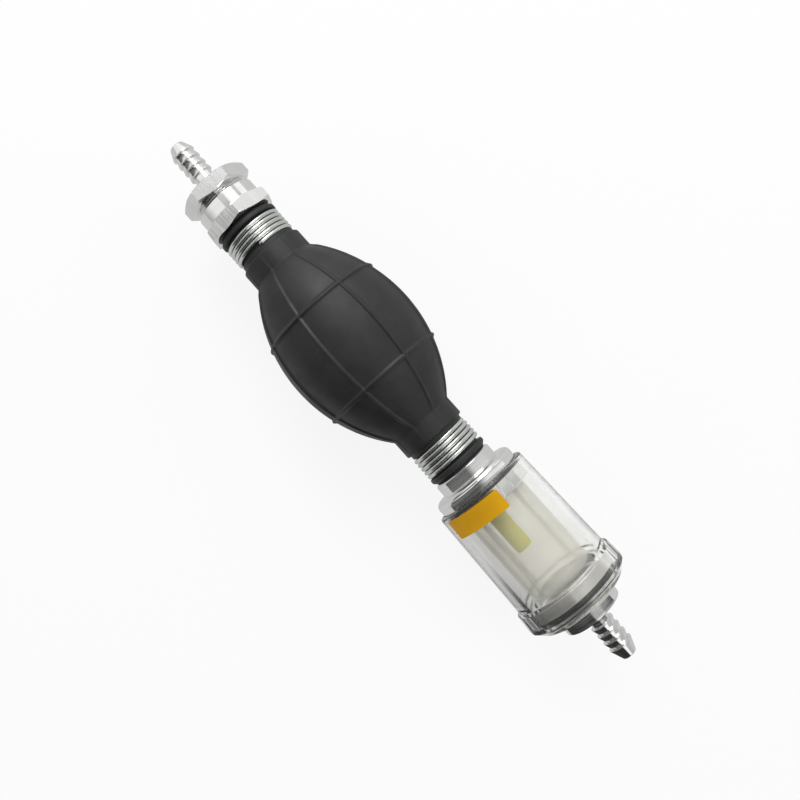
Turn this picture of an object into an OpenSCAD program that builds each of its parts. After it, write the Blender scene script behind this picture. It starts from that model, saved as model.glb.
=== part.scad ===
// Siphon bulb pump with an inline filter.
// A ribbed rubber bulb is clamped at each neck to an aluminium fitting that holds a check valve.
// Fluid enters at the base plug, passes the strainer in the clear bowl and leaves at the outlet tail.
// Lengths are millimetres. The pump lies on its side: +X runs from the outlet end to the inlet end,
// +Z is up, and the origin is on the ground under the middle of the pump's length.

/* [Bulb] */
// Largest radius of the bulb's belly
belly_r = 26.5; // [24:0.5:30]
// Length of the belly between its two collars
belly_len = 74.4; // [66:0.2:84]
// Radius where the belly runs into its collars
belly_end_r = 13.0; // [12.8:0.1:14]
// Radius of the plain collar at each end of the belly
collar_r = 12.8; // [12.4:0.1:13.4]
// Length of each collar
collar_len = 7.7; // [5:0.1:12]
// Radius of the neck beside the wire clamp
shoulder_r = 11.6; // [11.3:0.1:12]
// Radius of the neck under the wire clamp, where it is squeezed
seat_r = 10.6; // [10.4:0.1:11.2]
// Length of the neck between collar and lip
land_len = 11.4; // [10.8:0.1:14]
// Radius of the lip at the mouth of each neck
lip_r = 12.3; // [12.2:0.1:13.2]
// Length of the lip
lip_len = 3.0; // [2:0.1:4]
// Chamfer at the mouth of the lip
lip_chamfer = 1.5; // [0.4:0.1:1.6]
// Wall of the belly
belly_wall = 3.2; // [2.4:0.1:4]

/* [Bulb ribs] */
// Ribs along the bulb
rib_count = 8; // [4:2:12]
// Angle of the first rib from the top, in degrees
rib_phase = 26; // [15:1:30]
// How far a rib stands out of the skin
rib_proud = 0.6; // [0.3:0.1:1]
// Width of a rib
rib_w = 1.2; // [0.8:0.1:2]
// Distance of each ring rib from the middle of the belly
ring_rib_x = 17.0; // [10:0.5:24]
// Radius of a ring rib's half-round section
ring_rib_r = 0.7; // [0.5:0.1:1]

/* [Wire clamps] */
// Diameter of the clamp wire
wire_d = 1.36; // [1.1:0.02:1.36]
// Advance of the wire in one turn
wire_pitch = 1.8; // [1.8:0.02:1.9]
// Turns of the clamp on the outlet neck
outlet_turns = 4.3; // [3:0.1:4.4]
// Turns of the clamp on the inlet neck
inlet_turns = 4.5; // [3:0.1:4.8]
// Clear space between the clamp and the lip
lip_gap = 0.3; // [0.2:0.1:0.5]
// Angle of the cut end of the outlet clamp from the top, in degrees
outlet_cut_angle = -4; // [-180:1:180]
// Angle of the cut end of the inlet clamp from the top, in degrees
inlet_cut_angle = -75; // [-180:1:180]

/* [Hose tails] */
// Length of the outlet hose tail
outlet_tail_len = 19.7; // [18:0.1:30]
// Length of the inlet hose tail
inlet_tail_len = 20.0; // [19:0.1:30]
// Length of the outlet tail's first cone
outlet_lead = 4.4; // [3:0.1:5]
// Length of the inlet tail's first cone
inlet_lead = 5.5; // [3:0.1:6]
// Radius over the outlet tail's barbs, for hose of 8 mm bore
outlet_barb_r = 4.6; // [4.4:0.1:5]
// Radius over the inlet tail's barbs, for hose of 8 mm bore
inlet_barb_r = 4.8; // [4.4:0.1:5]
// Radius at the root of the barbs
barb_root_r = 3.75; // [3.5:0.05:4]
// Radius of the tail at its tip
tip_r = 2.95; // [2.8:0.05:3.3]
// Distance from one barb to the next
barb_pitch = 3.3; // [2.8:0.1:3.6]
// Barbs on a tail
barb_count = 4; // [3:1:4]
// Length of the flat land on top of each barb
barb_land = 0.5; // [0.4:0.1:0.8]
// Radius of the bore through a tail
tail_bore_r = 2.1; // [1.6:0.1:2.2]

/* [Outlet fitting] */
// Width across the flats of the hose tail's hexagon
tail_hex_af = 24.4; // [22:0.1:27]
// Thickness of the hose tail's hexagon
tail_hex_len = 5.9; // [4:0.1:8]
// Thickness of the sealing washer under the hexagon
washer_t = 1.0; // [0.6:0.1:2]
// Radius of the sealing washer
washer_r = 9.4; // [8.6:0.1:10]
// Length of the bevel that leads to the washer face
bevel_len = 1.1; // [0.6:0.1:2]
// Radius of the washer face
washer_face_r = 10.2; // [10:0.1:11]
// Radius of the plain band of the valve body
band_r = 12.0; // [11.5:0.1:12.6]
// Length of the plain band
band_len = 5.2; // [4:0.1:8]
// Width across the flats of the valve body's hexagon
body_hex_af = 25.7; // [25:0.1:28]
// Thickness of the valve body's hexagon
body_hex_len = 5.6; // [4:0.1:8]
// Angle of the valve body's hexagon from the top, in degrees
body_hex_angle = 4.5; // [0:0.5:30]
// Chamfer angle at the ends of the hexagons, in degrees
hex_chamfer = 26; // [15:1:35]
// Depth that the chamfer on the washer side of the hose tail's hexagon cuts into its flats
tail_hex_inset = 0.7; // [0:0.1:1]
// Radius of the threaded plug on the hose tail
plug_r = 7.0; // [6.4:0.1:7.6]
// Clearance between a thread's two plain cylinders
thread_gap = 0.05; // [0.02:0.01:0.1]

/* [Check valves] */
// Radius of the spigot inside each neck
spigot_r = 8.5; // [8:0.1:8.8]
// Length of the spigot inside each neck
spigot_len = 18.4; // [17:0.1:20]
// Clearance between rubber and spigot
spigot_gap = 0.05; // [0.02:0.01:0.1]
// Radius of the valve chamber
chamber_r = 5.6; // [5.3:0.1:5.9]
// Radius of the bore through the valve seat
seat_bore_r = 3.3; // [3:0.1:3.5]
// Radius of the poppet's head
poppet_r = 4.4; // [4.2:0.1:4.6]
// Thickness of the poppet's head
poppet_t = 1.6; // [1:0.1:2]
// Thickness of the poppet's rubber seal
seal_t = 1.0; // [0.6:0.1:1.5]
// Radius of the poppet's stem through the seal
stem_r = 1.8; // [1.5:0.1:2]
// Length of the poppet's three guide wings
wing_len = 6.0; // [4:0.5:7]
// Thickness of a guide wing
wing_t = 1.0; // [0.8:0.1:1.2]
// Running clearance of the wings in the seat bore
wing_gap = 0.08; // [0.04:0.01:0.1]
// Length of the closed valve's spring
spring_len = 9.0; // [8:0.5:10]
// Mean radius of the valve spring
spring_r = 2.65; // [2.6:0.05:2.8]
// Diameter of the spring wire
spring_wire_d = 0.5; // [0.4:0.05:0.6]
// Turns of the valve spring
spring_turns = 6; // [4:1:7]
// Height of the boss that centres the spring
pilot_len = 1.5; // [1:0.1:2]
// Radius of the boss that centres the spring
pilot_r = 1.9; // [1.6:0.1:2]
// Thickness of the inlet valve's spring plate
plate_t = 1.4; // [1:0.1:2]
// Thickness of the snap ring
snap_t = 0.8; // [0.6:0.1:1]
// Depth of the snap ring's groove
snap_depth = 0.5; // [0.4:0.1:0.7]

/* [Filter head] */
// Radius of the head's neck
head_neck_r = 12.2; // [11.5:0.1:13]
// Length of the head's neck
head_neck_len = 5.2; // [4:0.1:12]
// Chamfer at the start of the head's neck
head_neck_chamfer = 0.8; // [0.4:0.1:1.2]
// Radius of the head's flange
head_flange_r = 17.1; // [16.8:0.1:18]
// Thickness of the head's flange
head_flange_t = 5.0; // [3:0.1:6]
// Rounding of the flange on its neck side
head_flange_round = 2.6; // [1:0.1:2.8]
// Radius that the flange's rim loses towards the bowl
head_flange_taper = 0.2; // [0:0.1:0.6]
// Radius of the threaded skirt
skirt_r = 16.5; // [16:0.1:16.6]
// Length of the threaded skirt
skirt_len = 7.3; // [6:0.1:9]
// Wall of the threaded skirt
skirt_wall = 3.2; // [2.4:0.1:3.6]
// Floor left between the flange face and the socket in the skirt
socket_floor = 1.8; // [1.2:0.1:3]
// Sideways place of the drop tube's nipple
nipple_offset = 2.5; // [0:0.1:3]
// Length of the nipple
nipple_len = 8.0; // [5:0.5:12]
// Radius of the nipple
nipple_r = 2.35; // [2.2:0.05:2.6]
// Radius of the nipple's bore
nipple_bore_r = 1.6; // [1.2:0.1:1.8]

/* [Drop tube] */
// Length of the drop tube
drop_len = 26.0; // [16:0.5:36]
// Outer radius of the drop tube
drop_r = 3.4; // [3.1:0.1:4]

/* [Bowl] */
// Thickness of the gasket in the bowl's rim
gasket_t = 1.8; // [0.6:0.1:2]
// Outer radius of the gasket
gasket_r = 17.15; // [17:0.05:17.4]
// Radius of the bowl at its rim
bowl_top_r = 19.0; // [18.6:0.1:20]
// Radius of the bowl above its grip
bowl_low_r = 20.2; // [19.6:0.1:20.8]
// Length of the bowl above its grip
bowl_len = 44.0; // [38:0.5:60]
// Radius over the corners of the grip at its bevel
grip_r = 21.8; // [21.4:0.1:24]
// Radius that the grip loses from its bevel to its other end
grip_draft = 0.4; // [0:0.1:0.6]
// Length of the grip
grip_len = 8.3; // [6:0.1:12]
// Flats on the grip
grip_flats = 24; // [18:1:30]
// Length of the bevel under the grip
grip_bevel = 3.3; // [2:0.1:4]
// Radius at the end of the bevel
grip_end_r = 18.5; // [18.4:0.1:19.4]
// Radius of the bowl's rounded rim
rim_round = 1.4; // [0.6:0.1:1.5]
// Inner radius of the bowl below the thread
bowl_bore_r = 16.8; // [16.7:0.1:17]
// Bore that takes the base plug
plug_bore_r = 17.4; // [17.2:0.1:17.6]

/* [Sticker] */
// Distance of the sticker from the bowl's rim
sticker_x = 2.5; // [2.5:0.1:10]
// Width of the sticker along the bowl
sticker_w = 7.6; // [5:0.1:12]
// First angle of the sticker from the top, in degrees
sticker_from = -64; // [-120:1:-20]
// Last angle of the sticker from the top, in degrees
sticker_to = 10; // [0:1:60]
// Shift of the sticker along the bowl for each millimetre across it
sticker_skew = 0.05; // [0:0.01:0.08]
// Thickness of the sticker
sticker_t = 0.15; // [0.1:0.05:0.3]

/* [Strainer] */
// Outer radius of the strainer
mesh_r = 12.9; // [12:0.1:13]
// Thickness of the mesh sleeve
mesh_t = 0.4; // [0.3:0.1:0.6]
// Clearance of the strainer's ring in the skirt
ring_gap = 0.05; // [0.02:0.01:0.1]
// Length of the cage's closed end
cage_cap_len = 3.5; // [3:0.1:6]
// Thickness of the cage's closed end
cage_cap_t = 1.4; // [1:0.1:2]
// Rounding of the cage's closed end
cage_round = 2.5; // [1.5:0.1:2.8]
// Ribs of the cage
cage_ribs = 4; // [3:1:8]
// Width of a cage rib
cage_rib_w = 1.2; // [0.8:0.1:2]
// Depth of a cage rib
cage_rib_d = 0.9; // [0.6:0.1:1.5]
// Clear space between the strainer and the base plug
cage_gap = 0.6; // [0.3:0.1:2]

/* [Base plug] */
// Length of the plug's cylinder above the O-ring
plug_top_len = 4.7; // [3:0.1:6]
// Width of the O-ring groove
groove_w = 2.1; // [2.1:0.1:3.4]
// Depth of the O-ring groove
groove_depth = 2.0; // [1.6:0.1:2.4]
// Length that the plug's rim stands out of the bowl
plug_rim_out = 1.0; // [0.6:0.1:2]
// Length of the plug between its O-ring and the end of the bowl
plug_foot_len = 3.1; // [1.4:0.1:3.4]
// Clearance between plug and bowl
plug_gap = 0.05; // [0.02:0.01:0.1]
// Radius at the foot of the rim's chamfer
plug_rim_r = 16.5; // [16:0.1:17]
// Radius of the boss that carries the hose tail
boss_r = 12.1; // [10:0.1:14]
// Length of the boss
boss_len = 5.1; // [3:0.1:10]
// Radius of the recess that faces the strainer
recess_r = 14.4; // [13.6:0.1:14.8]
// Depth of the recess
recess_depth = 4.0; // [2:0.1:5]

/* [Hidden] */
$fn = 96;

// Small edge breaks and the overlap that cutters get past a face
edge = 0.5;
cut = 1;
// Angle between the points of a large rounding
round_step = 15;

// Belly: one arc through both collars; the arc's centre lies beyond the pump axis
belly_half = belly_len / 2;
belly_sag = belly_r - belly_end_r;
belly_arc_r = (belly_half * belly_half + belly_sag * belly_sag) / (2 * belly_sag);
belly_arc_c = belly_arc_r - belly_r;
neck_bore_r = spigot_r + spigot_gap;

// Stations along the bulb, measured outwards from its middle
collar_end = belly_half + collar_len;
land_end = collar_end + land_len;
lip_end = land_end + lip_len;

// Stations of the outlet fitting, measured outwards from the middle of the bulb
body_hex_end = lip_end + body_hex_len;
band_end = body_hex_end + band_len;
washer_face = band_end + bevel_len;
tail_hex_face = washer_face + washer_t;
outlet_root = tail_hex_face + tail_hex_len;
outlet_tip = outlet_root + outlet_tail_len;

// Stations of the filter and the base, measured outwards from the middle of the bulb
head_flange = lip_end + head_neck_len;
head_face = head_flange + head_flange_t;
skirt_end = head_face + skirt_len;
socket_face = head_face + socket_floor;
bowl_rim = head_face;
gasket_seat = bowl_rim + gasket_t;
grip_top = bowl_rim + bowl_len;
grip_end = grip_top + grip_len;
bowl_end = grip_end + grip_bevel;
plug_end = bowl_end + plug_rim_out;
plug_top = bowl_end - plug_foot_len - groove_w - plug_top_len;
groove_top = plug_top + plug_top_len;
inlet_root = plug_end + boss_len;
inlet_tip = inlet_root + inlet_tail_len;

// Place of the bulb's middle that puts the origin under the middle of the whole length
bulb_x = (outlet_tip - inlet_tip) / 2;
axis_h = belly_r;

// Check valve: distances from the seat face in the direction of flow
head_top = seal_t + poppet_t;
valve_stack = head_top + spring_len;
socket_depth = washer_face - body_hex_end + edge;
outlet_seat = washer_face - socket_depth - valve_stack;
plate_face = lip_end - spigot_len + 2 * snap_t + plate_t;
inlet_seat = plate_face + valve_stack;

// Wire forms: rings on one turn of a clamp and of a spring, and sides of the wire
clamp_rings = 24;
spring_rings = 8;
wire_sides = 6;
seat_clear = 0.15;
clamp_r = seat_r + seat_clear + wire_d / 2;

function clamp_len(turns) = turns * wire_pitch + wire_d;
function clamp_start(turns) = land_end - lip_gap - clamp_len(turns);
function coil_points(r, pitch, turns, rings) =
    [for (i = [0 : round(turns * rings)]) let (a = 360 * i / rings)
        [r * cos(a), r * sin(a), pitch * a / 360]];
function coil_gap(points, wire, rings) =
    min([for (i = [0 : len(points) - 1 - rings / 2])
        for (j = [i + rings / 2 : len(points) - 1]) norm(points[i] - points[j])]) - wire;
function bowl_outer_r(x) = bowl_top_r + (bowl_low_r - bowl_top_r) * (x - bowl_rim) / bowl_len;

// Least gap between neighbouring turns of each wound piece
echo(outlet_clamp_gap = coil_gap(coil_points(clamp_r, wire_pitch, outlet_turns, clamp_rings),
    wire_d, clamp_rings));
echo(inlet_clamp_gap = coil_gap(coil_points(clamp_r, wire_pitch, inlet_turns, clamp_rings),
    wire_d, clamp_rings));
echo(valve_spring_gap = coil_gap(coil_points(spring_r, (spring_len - spring_wire_d) / spring_turns,
    spring_turns, spring_rings), spring_wire_d, spring_rings));

// Outward frames: local Z runs away from the bulb and local X points up
module outlet_side(station) {
    translate([bulb_x - station, 0, axis_h])
        rotate([0, -90, 0])
            children();
}

module inlet_side(station) {
    translate([bulb_x + station, 0, axis_h])
        rotate([0, 90, 0])
            rotate([0, 0, 180])
                children();
}

// Round bar along local Z with broken edges
module turned_bar(r, len, near_edge = 0, far_edge = 0) {
    rotate_extrude()
        polygon([[0, 0], [r - near_edge, 0], [r, near_edge], [r, len - far_edge],
            [r - far_edge, len], [0, len]]);
}

module bore(r, from, to) {
    translate([0, 0, from])
        cylinder(r = r, h = to - from);
}

// Flat ring along local Z
module ring(outer_r, inner_r, len) {
    difference() {
        cylinder(r = outer_r, h = len);
        bore(inner_r, -cut, len + cut);
    }
}

// Hexagon bar whose corners are turned off at both ends; near_inset lets one chamfer cut the flats too
module chamfered_hex(af, len, near_inset = 0) {
    corner_r = af / 2 / cos(30);
    near_r = af / 2 - near_inset;
    near_drop = (corner_r - near_r) * tan(hex_chamfer);
    far_drop = (corner_r - af / 2) * tan(hex_chamfer);
    intersection() {
        cylinder(r = corner_r, h = len, $fn = 6);
        rotate_extrude()
            polygon([[0, 0], [near_r, 0], [corner_r, near_drop], [corner_r, len - far_drop],
                [af / 2, len], [0, len]]);
    }
}

// Barbed hose tail: local Z runs from its root to its tip
module barbed_tail(len, lead, crest_r) {
    crests = [for (k = [0 : barb_count - 1]) len - lead - k * barb_pitch];
    rotate_extrude()
        polygon(concat(
            [[0, len], [tip_r - edge / 2, len], [tip_r, len - edge / 2]],
            [for (k = [0 : barb_count - 1]) each concat(
                k == 0 ? [] : [[barb_root_r, crests[k - 1]]],
                [[crest_r, crests[k] + barb_land], [crest_r, crests[k]]])],
            [[barb_root_r, crests[barb_count - 1]], [barb_root_r, 0], [0, 0]]));
}

// Round wire wound into a right-handed coil of one unbroken tube; local Z is the coil's axis
module wire_coil(r, pitch, turns, wire, rings) {
    centres = coil_points(r, pitch, turns, rings);
    last = len(centres) - 1;
    slope = atan(pitch / (2 * PI * r));
    skin = [for (i = [0 : last]) let (a = 360 * i / rings)
        for (k = [0 : wire_sides - 1]) let (b = 360 * k / wire_sides)
            centres[i] + wire / 2 * (cos(b) * [cos(a), sin(a), 0]
                + sin(b) * [sin(slope) * sin(a), -sin(slope) * cos(a), cos(slope)])];
    sides = [for (i = [0 : last - 1]) for (k = [0 : wire_sides - 1])
        let (n = (k + 1) % wire_sides, p = i * wire_sides, q = p + wire_sides)
            each [[p + k, q + n, q + k], [p + k, p + n, q + n]]];
    near_cap = [for (k = [1 : wire_sides - 2]) [0, k + 1, k]];
    far_cap = [for (k = [1 : wire_sides - 2]) let (p = last * wire_sides) [p, p + k, p + k + 1]];
    polyhedron(points = skin, faces = concat(sides, near_cap, far_cap));
}

// Half plane of the belly's arc, grown by a distance and cut at both collars
module belly_profile(grow) {
    intersection() {
        translate([-belly_arc_c, 0])
            circle(r = belly_arc_r + grow, $fn = 360);
        translate([0, -belly_half])
            square([belly_r + grow + cut, belly_len]);
    }
}

// Outer form of one neck from the collar to the lip; clamp_from is where the clamp starts
module neck_profile(clamp_from) {
    polygon([
        [0, belly_half - cut], [collar_r, belly_half - cut], [collar_r, collar_end - edge],
        [collar_r - edge, collar_end], [shoulder_r, collar_end], [shoulder_r, clamp_from - edge / 2],
        [seat_r, clamp_from - edge / 2], [seat_r, land_end],
        [lip_r - edge, land_end], [lip_r, land_end + edge],
        [lip_r, lip_end - lip_chamfer], [lip_r - lip_chamfer, lip_end], [0, lip_end]]);
}

module bulb_skin() {
    rotate_extrude()
        belly_profile(0);
    rotate_extrude()
        neck_profile(clamp_start(inlet_turns));
    mirror([0, 0, 1])
        rotate_extrude()
            neck_profile(clamp_start(outlet_turns));
}

// Ribs along the bulb: thin slabs cut out of a slightly larger belly and collar
module long_ribs() {
    for (k = [0 : rib_count / 2 - 1])
        intersection() {
            union() {
                rotate_extrude()
                    belly_profile(rib_proud);
                cylinder(r = collar_r + rib_proud / 2, h = 2 * (collar_end - edge), center = true);
            }
            rotate([0, 0, 360 * k / rib_count - rib_phase])
                cube([2 * (belly_r + belly_sag), rib_w, 2 * collar_end], center = true);
        }
}

module ring_rib(x) {
    translate([0, 0, x])
        rotate_extrude()
            translate([sqrt(belly_arc_r * belly_arc_r - x * x) - belly_arc_c, 0])
                circle(r = ring_rib_r);
}

// Hollow of the bulb: the belly less its wall, with a bore to each mouth
module bulb_hollow() {
    rotate_extrude()
        intersection() {
            translate([-belly_arc_c, 0])
                circle(r = belly_arc_r - belly_wall, $fn = 360);
            translate([0, -belly_half])
                square([belly_r, belly_len]);
        }
    bore(neck_bore_r, -lip_end - cut, lip_end + cut);
}

module bulb() {
    color([0.16, 0.16, 0.17])
        inlet_side(0)
            difference() {
                union() {
                    bulb_skin();
                    long_ribs();
                    ring_rib(ring_rib_x);
                    ring_rib(-ring_rib_x);
                }
                bulb_hollow();
            }
}

module wire_clamp(turns, cut_angle) {
    color([0.72, 0.73, 0.74])
        translate([0, 0, clamp_start(turns) + wire_d / 2])
            rotate([0, 0, cut_angle])
                wire_coil(clamp_r, wire_pitch, turns, wire_d, clamp_rings);
}

module outlet_wire_clamp() {
    outlet_side(0)
        wire_clamp(outlet_turns, outlet_cut_angle);
}

module inlet_wire_clamp() {
    inlet_side(0)
        wire_clamp(inlet_turns, inlet_cut_angle);
}

module outlet_hose_tail() {
    color([0.8, 0.81, 0.82])
        outlet_side(tail_hex_face)
            difference() {
                union() {
                    rotate([0, 0, 30])
                        chamfered_hex(tail_hex_af, tail_hex_len, tail_hex_inset);
                    translate([0, 0, tail_hex_len - cut])
                        barbed_tail(outlet_tail_len + cut, outlet_lead, outlet_barb_r);
                    translate([0, 0, -washer_t - socket_depth])
                        turned_bar(plug_r, washer_t + socket_depth + cut, edge);
                }
                bore(tail_bore_r, -washer_t - socket_depth - cut, tail_hex_len + outlet_tail_len + cut);
            }
}

module outlet_washer() {
    color([0.8, 0.81, 0.82])
        outlet_side(washer_face)
            ring(washer_r, plug_r + thread_gap, washer_t);
}

module outlet_valve_body() {
    color([0.8, 0.81, 0.82])
        outlet_side(lip_end)
            difference() {
                union() {
                    rotate([0, 0, body_hex_angle])
                        chamfered_hex(body_hex_af, body_hex_len);
                    translate([0, 0, body_hex_len - cut])
                        rotate_extrude()
                            polygon([[0, 0], [band_r, 0], [band_r, band_len + cut],
                                [washer_face_r, band_len + cut + bevel_len],
                                [0, band_len + cut + bevel_len]]);
                    translate([0, 0, -spigot_len])
                        turned_bar(spigot_r, spigot_len + cut, edge);
                }
                bore(plug_r + thread_gap, washer_face - lip_end - socket_depth, washer_face - lip_end + cut);
                bore(chamber_r, outlet_seat - lip_end, washer_face - lip_end);
                bore(seat_bore_r, -spigot_len - cut, washer_face - lip_end);
            }
}

// Poppet: its seal closes on the seat at local Z = 0, and it lifts towards +Z
module poppet() {
    color([0.82, 0.7, 0.4]) {
        translate([0, 0, seal_t])
            turned_bar(poppet_r, poppet_t, 0, edge / 2);
        translate([0, 0, seal_t])
            turned_bar(pilot_r, poppet_t + pilot_len, 0, edge / 2);
        translate([0, 0, -wing_len / 2])
            cylinder(r = stem_r, h = wing_len / 2 + seal_t + edge);
        intersection() {
            translate([0, 0, -wing_len])
                cylinder(r = seat_bore_r - wing_gap, h = wing_len - edge);
            for (k = [0 : 2])
                rotate([0, 0, 120 * k])
                    translate([0, -wing_t / 2, -wing_len])
                        cube([seat_bore_r, wing_t, wing_len]);
        }
    }
}

module poppet_seal() {
    color([0.1, 0.1, 0.1])
        ring(poppet_r, stem_r, seal_t);
}

module valve_spring() {
    color([0.75, 0.76, 0.78])
        translate([0, 0, head_top + spring_wire_d / 2])
            wire_coil(spring_r, (spring_len - spring_wire_d) / spring_turns, spring_turns,
                spring_wire_d, spring_rings);
}

module outlet_poppet() {
    outlet_side(outlet_seat)
        poppet();
}

module outlet_poppet_seal() {
    outlet_side(outlet_seat)
        poppet_seal();
}

module outlet_spring() {
    outlet_side(outlet_seat)
        valve_spring();
}

// The inlet valve lifts towards the bulb, so its frame is turned about
module inlet_valve() {
    inlet_side(inlet_seat)
        rotate([180, 0, 0])
            children();
}

module inlet_poppet() {
    inlet_valve()
        poppet();
}

module inlet_poppet_seal() {
    inlet_valve()
        poppet_seal();
}

module inlet_spring() {
    inlet_valve()
        valve_spring();
}

// Plate with a ring of holes that holds the inlet spring in the spigot
module inlet_spring_plate() {
    hole_r = (chamber_r - spring_r) / 3;
    color([0.75, 0.76, 0.78])
        inlet_valve()
            translate([0, 0, valve_stack])
                difference() {
                    cylinder(r = chamber_r - thread_gap, h = plate_t);
                    bore(pilot_r / 2, -cut, plate_t + cut);
                    for (k = [0 : 5])
                        rotate([0, 0, 60 * k])
                            translate([(chamber_r + spring_r) / 2, 0, 0])
                                bore(hole_r, -cut, plate_t + cut);
                }
}

// Open ring that springs into the groove at the mouth of the inlet spigot
module inlet_snap_ring() {
    color([0.55, 0.56, 0.58])
        inlet_valve()
            translate([0, 0, valve_stack + plate_t])
                difference() {
                    ring(chamber_r + snap_depth - thread_gap, chamber_r - 2 * snap_depth, snap_t);
                    translate([chamber_r, 0, snap_t / 2])
                        cube([chamber_r, snap_t * 3, snap_t * 2], center = true);
                }
}

// Turned outside of the head, with the socket that takes the strainer
module head_blank() {
    difference() {
        union() {
            translate([0, 0, lip_end - spigot_len])
                turned_bar(spigot_r, spigot_len + cut, edge);
            translate([0, 0, lip_end])
                turned_bar(head_neck_r, head_neck_len + cut, head_neck_chamfer);
            rotate_extrude()
                polygon(concat(
                    [[0, head_flange]],
                    [for (a = [0 : round_step : 90])
                        [head_flange_r - head_flange_round * (1 - sin(a)),
                            head_flange + head_flange_round * (1 - cos(a))]],
                    [[head_flange_r - head_flange_taper, head_face], [0, head_face]]));
            translate([0, 0, head_face - cut])
                turned_bar(skirt_r, skirt_end - head_face + cut, 0, edge);
        }
        bore(skirt_r - skirt_wall, socket_face, skirt_end + cut);
    }
}

module filter_head() {
    color([0.78, 0.79, 0.8])
        inlet_side(0)
            difference() {
                union() {
                    head_blank();
                    translate([0, nipple_offset, 0])
                        bore(nipple_r, socket_face - cut, socket_face + nipple_len);
                }
                translate([0, nipple_offset, 0])
                    bore(nipple_bore_r, head_flange - cut, socket_face + nipple_len + cut);
                bore(seat_bore_r, inlet_seat - cut, head_flange);
                bore(chamber_r, lip_end - spigot_len - cut, inlet_seat);
                bore(chamber_r + snap_depth, plate_face - plate_t - snap_t, plate_face - plate_t);
            }
}

module drop_tube() {
    color([0.8, 0.77, 0.25])
        inlet_side(socket_face)
            translate([0, nipple_offset, 0])
                ring(drop_r, nipple_r + thread_gap, drop_len);
}

// Strainer cage: a ring that plugs into the skirt, ribs, and a rounded closed end
module filter_cage() {
    ring_len = skirt_end - socket_face;
    cage_len = plug_top - cage_gap - socket_face;
    rib_len = cage_len - ring_len - cage_cap_len + 2 * edge;
    rib_outer_r = mesh_r - mesh_t - ring_gap;
    color([0.93, 0.93, 0.9])
        inlet_side(socket_face) {
            ring(skirt_r - skirt_wall - ring_gap, rib_outer_r - cage_rib_d, ring_len);
            translate([0, 0, ring_len - edge])
                intersection() {
                    ring(rib_outer_r, rib_outer_r - cage_rib_d, rib_len);
                    for (k = [0 : cage_ribs - 1])
                        rotate([0, 0, 360 * (k + 0.5) / cage_ribs])
                            translate([0, -cage_rib_w / 2, -cut])
                                cube([mesh_r, cage_rib_w, rib_len + 2 * cut]);
                }
            difference() {
                translate([0, 0, cage_len - cage_cap_len])
                    rotate_extrude() {
                        square([mesh_r - cage_round, cage_cap_len]);
                        square([mesh_r, cage_cap_len - cage_round]);
                        intersection() {
                            translate([mesh_r - cage_round, cage_cap_len - cage_round])
                                circle(r = cage_round);
                            square([mesh_r, cage_cap_len]);
                        }
                    }
                bore(mesh_r - cage_round, cage_len - cage_cap_len - cut, cage_len - cage_cap_t);
            }
        }
}

module filter_mesh() {
    color([0.95, 0.95, 0.93])
        inlet_side(skirt_end)
            ring(mesh_r, mesh_r - mesh_t, plug_top - cage_gap - cage_cap_len - skirt_end);
}

module bowl_gasket() {
    color([0.08, 0.08, 0.08])
        inlet_side(head_face)
            ring(gasket_r, skirt_r + plug_gap, gasket_t);
}

// Prism with many flats that widens a little from its near end; a corner points up
module grip_prism(near_r, far_r, len, flats) {
    linear_extrude(height = len, scale = far_r / near_r)
        polygon([for (k = [0 : flats - 1]) near_r * [cos(360 * k / flats), sin(360 * k / flats)]]);
}

module bowl() {
    near_r = grip_r - grip_draft;
    prism_len = grip_len + grip_bevel;
    near_chamfer = 2 * edge;
    color([0.9, 0.92, 0.92, 0.4])
        inlet_side(0)
            difference() {
                union() {
                    rotate_extrude()
                        bowl_wall_profile();
                    intersection() {
                        translate([0, 0, grip_top])
                            grip_prism(near_r, near_r + grip_draft * prism_len / grip_len, prism_len,
                                grip_flats);
                        rotate_extrude()
                            polygon([[0, grip_top], [near_r - near_chamfer, grip_top],
                                [grip_r, grip_top + near_chamfer + grip_draft], [grip_r, grip_end],
                                [grip_end_r, bowl_end], [0, bowl_end]]);
                    }
                }
                bore(gasket_r + plug_gap, bowl_rim - cut, gasket_seat);
                bore(skirt_r + plug_gap, bowl_rim - cut, skirt_end);
                bore(bowl_bore_r, skirt_end - edge, plug_top + edge);
                bore(plug_bore_r, plug_top, bowl_end + cut);
            }
}

// Outer form of the bowl above its grip, with a rounded rim and a slight taper
module bowl_wall_profile() {
    rim_r = bowl_outer_r(bowl_rim + rim_round);
    intersection() {
        polygon([[0, bowl_rim], [rim_r, bowl_rim], [rim_r, bowl_rim + rim_round],
            [bowl_low_r, grip_top], [bowl_low_r, grip_top + cut], [0, grip_top + cut]]);
        union() {
            translate([0, bowl_rim + rim_round])
                square([bowl_low_r, bowl_len + cut]);
            translate([0, bowl_rim])
                square([rim_r - rim_round, bowl_len]);
            translate([rim_r - rim_round, bowl_rim + rim_round])
                circle(r = rim_round);
        }
    }
}

// Sticker: a thin arc that lies on the bowl's taper, a little askew; its last angle stays where it is
module bowl_sticker() {
    from = bowl_rim + sticker_x;
    to = from + sticker_w;
    last_y = -bowl_outer_r(from) * sin(sticker_to);
    color([0.92, 0.65, 0.08])
        inlet_side(0)
            multmatrix([[1, 0, 0, 0], [0, 1, 0, 0], [0, -sticker_skew, 1, sticker_skew * last_y]])
                rotate([0, 0, -sticker_to])
                    rotate_extrude(angle = sticker_to - sticker_from)
                        polygon([[bowl_outer_r(from), from], [bowl_outer_r(from) + sticker_t, from],
                            [bowl_outer_r(to) + sticker_t, to], [bowl_outer_r(to), to]]);
}

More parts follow.
